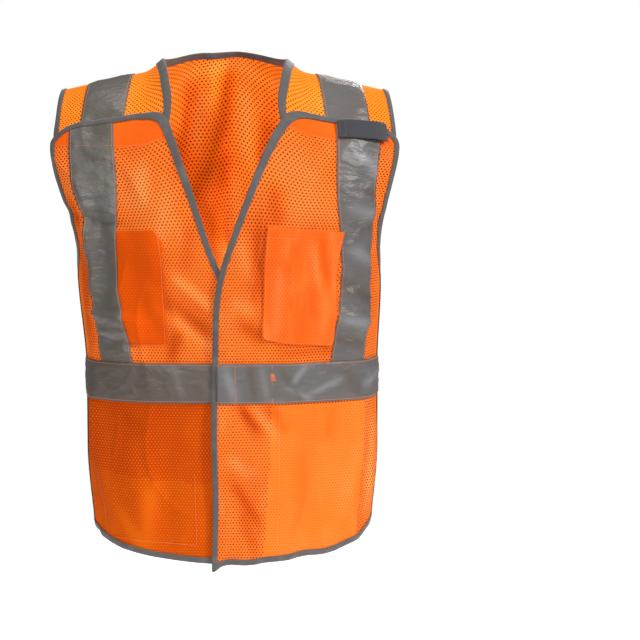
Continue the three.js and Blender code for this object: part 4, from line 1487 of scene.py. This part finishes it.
def tab_foot(end):
    """How far the tab bends out of its plane to reach the cloth at one end."""
    w, v = TAB_CENTRE
    seat = skin(w + end * (TAB_LENGTH / 2 - TAB_FOOT), v, TAPE_TOP + 0.5)
    return float((seat - TAB[0]) @ TAB[3])


TAB = tab_frame()
TAB_ENDS = (tab_foot(-1), tab_foot(1))


def tab_point(s, t, height):
    """A point of the tab at s along it and t down it; its ends bend back to the cloth."""
    middle, across, down, out = TAB
    half = TAB_LENGTH / 2
    sag = (np.abs(s) / half) ** 3.5 * np.where(s < 0, TAB_ENDS[0], TAB_ENDS[1])
    rise = height + sag
    return (middle + s[..., None] * across + t[..., None] * down + rise[..., None] * out) * MM


def mic_tab():
    s = np.linspace(-TAB_LENGTH / 2, TAB_LENGTH / 2, 63)
    t = np.linspace(-TAB_WIDTH / 2, TAB_WIDTH / 2, 26)
    s, t = np.meshgrid(s, t)
    rib = 0.10 * np.sin(s * 2 * math.pi / 2.1) * np.sin(t * 2 * math.pi / 2.5)
    near = np.minimum(TAB_WIDTH / 2 - np.abs(t), TAB_LENGTH / 2 - np.abs(s))
    rim = 0.45 * (1 - smooth(near, 0, 1.3))
    upper = tab_point(s, t, TAB_THICK - rim + rib)
    lower = tab_point(s, t, 0.1 + rim)
    points = np.concatenate([lower.reshape(-1, 3), upper.reshape(-1, 3)])
    flat = np.concatenate([pair(s, t).reshape(-1, 2)] * 2)
    return make("mic_tab", points, shell_faces(*s.shape), flat, WEBBING, "left_front",
                ["mic_tab"])


def tab_stitches():
    """A box of stitches at each end of the tab."""
    flats = []
    half, deep = TAB_LENGTH / 2 - TAB_STITCH_INSET, TAB_WIDTH / 2 - TAB_STITCH_INSET
    for end in (-1, 1):
        near, far = end * half, end * (half - TAB_BOX_LENGTH)
        box = resample([(near, -deep), (near, deep), (far, deep), (far, -deep)], 2.6, closed=True)
        ahead = unit(np.roll(box, -1, 0) - box)
        flats.append(stitch_places(box, ahead, TAB_STITCH, 1.9, 0.55))
    flat = np.concatenate(flats)
    points = tab_point(flat[..., 0], flat[..., 1], TAB_THICK + 0.12 + TAB_STITCH[:, 2] * 0.5)
    return make("mic_tab_stitches", points.reshape(-1, 3), stitch_faces(len(flat)),
                flat.reshape(-1, 2), PALE_THREAD, "left_front")


left_trim += [mic_tab(), tab_stitches()]

# ---- Side tabs ----

SIDE_TAB_FROM = 238
SIDE_TAB_TO = 2 * SIDE_LINE - 242


def side_height(w, v):
    return 4.1 - 1.5 * smooth(np.abs(w), 244, 260)


for side, sign, trim in (("left", 1, left_trim), ("right", -1, right_trim)):
    ws = sorted((sign * SIDE_TAB_FROM, sign * SIDE_TAB_TO))
    side_tab = slab(
        f"{side}_side_tab", box_grid(ws, (BAND_TOP + 4, BAND_BOTTOM - 4), 2), side_height, 0.8,
        WEBBING, None, [f"{side}_side_tab"],
    )
    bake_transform(side_tab)
    rows = [np.array([(sign * w, BAND_TOP + 3), (sign * w, BAND_BOTTOM - 3)]) for w in (236, 240)]
    trim.append(stitches(
        f"{side}_side_tab_stitches", [(row, at(on_back, over_band), False) for row in rows],
        ORANGE_THREAD, f"{side}_front", "reflective_tape", *SIDE_SEAM,
    ))

# ---- Studio ----

FLOOR_DROP = 0.16
FLOOR_RADIUS = 0.95
FLOOR_WHITE = 0.93
FLOOR_GLOW = 0.6
SURROUND_LIGHT = 0.18
bpy.context.scene.view_settings.view_transform = "Standard"


def studio():
    """A pale disc of floor under a surround that is white to see and lights the vest a little."""
    level = cad_box[0][2] - FLOOR_DROP
    around = np.linspace(0, 2 * math.pi, 64, endpoint=False)
    points = [(FLOOR_RADIUS * math.cos(a), FLOOR_RADIUS * math.sin(a), level) for a in around]
    data = bpy.data.meshes.new("floor")
    data.from_pydata(points, [], [list(range(len(points)))])
    paint = Look("floor_paint", (FLOOR_WHITE,) * 3, 0.9)
    paint.glow(FLOOR_GLOW, (1, 1, 1))
    data.materials.append(paint.material)
    added("floor", data)
    world = bpy.data.worlds.new("surround")
    world.use_nodes = True
    nodes, links = world.node_tree.nodes, world.node_tree.links
    seen = nodes.new("ShaderNodeLightPath").outputs["Is Camera Ray"]
    strength = nodes.new("ShaderNodeMapRange")
    strength.inputs["To Min"].default_value = SURROUND_LIGHT
    strength.inputs["To Max"].default_value = 1.0
    links.new(seen, strength.inputs["Value"])
    nodes["Background"].inputs["Color"].default_value = (1, 1, 1, 1)
    links.new(strength.outputs["Result"], nodes["Background"].inputs["Strength"])
    bpy.context.scene.world = world


def area_light(name, place, aim_height, size, power):
    """A square light that faces the vest's middle line at that height."""
    data = bpy.data.lights.new(name, "AREA")
    data.shape = "RECTANGLE"
    data.size = data.size_y = size
    data.energy = power
    light = added(name, data)
    light.location = place
    way = np.array((0, 0, aim_height), float) - np.array(place, float)
    yaw = math.atan2(-way[0], way[1])
    pitch = math.atan2(way[2], math.hypot(way[0], way[1])) + math.pi / 2
    light.rotation_euler = (pitch, 0, yaw)


studio()
area_light("key", (2.0, -1.3, 1.3), -0.3, 0.45, 56)
area_light("fill", (-0.8, -2.4, 0.5), -0.3, 0.35, 24)
area_light("top", (-0.5, -0.5, 1.7), -0.2, 0.5, 13)
area_light("back", (0.9, 2.0, 1.0), -0.3, 0.6, 30)
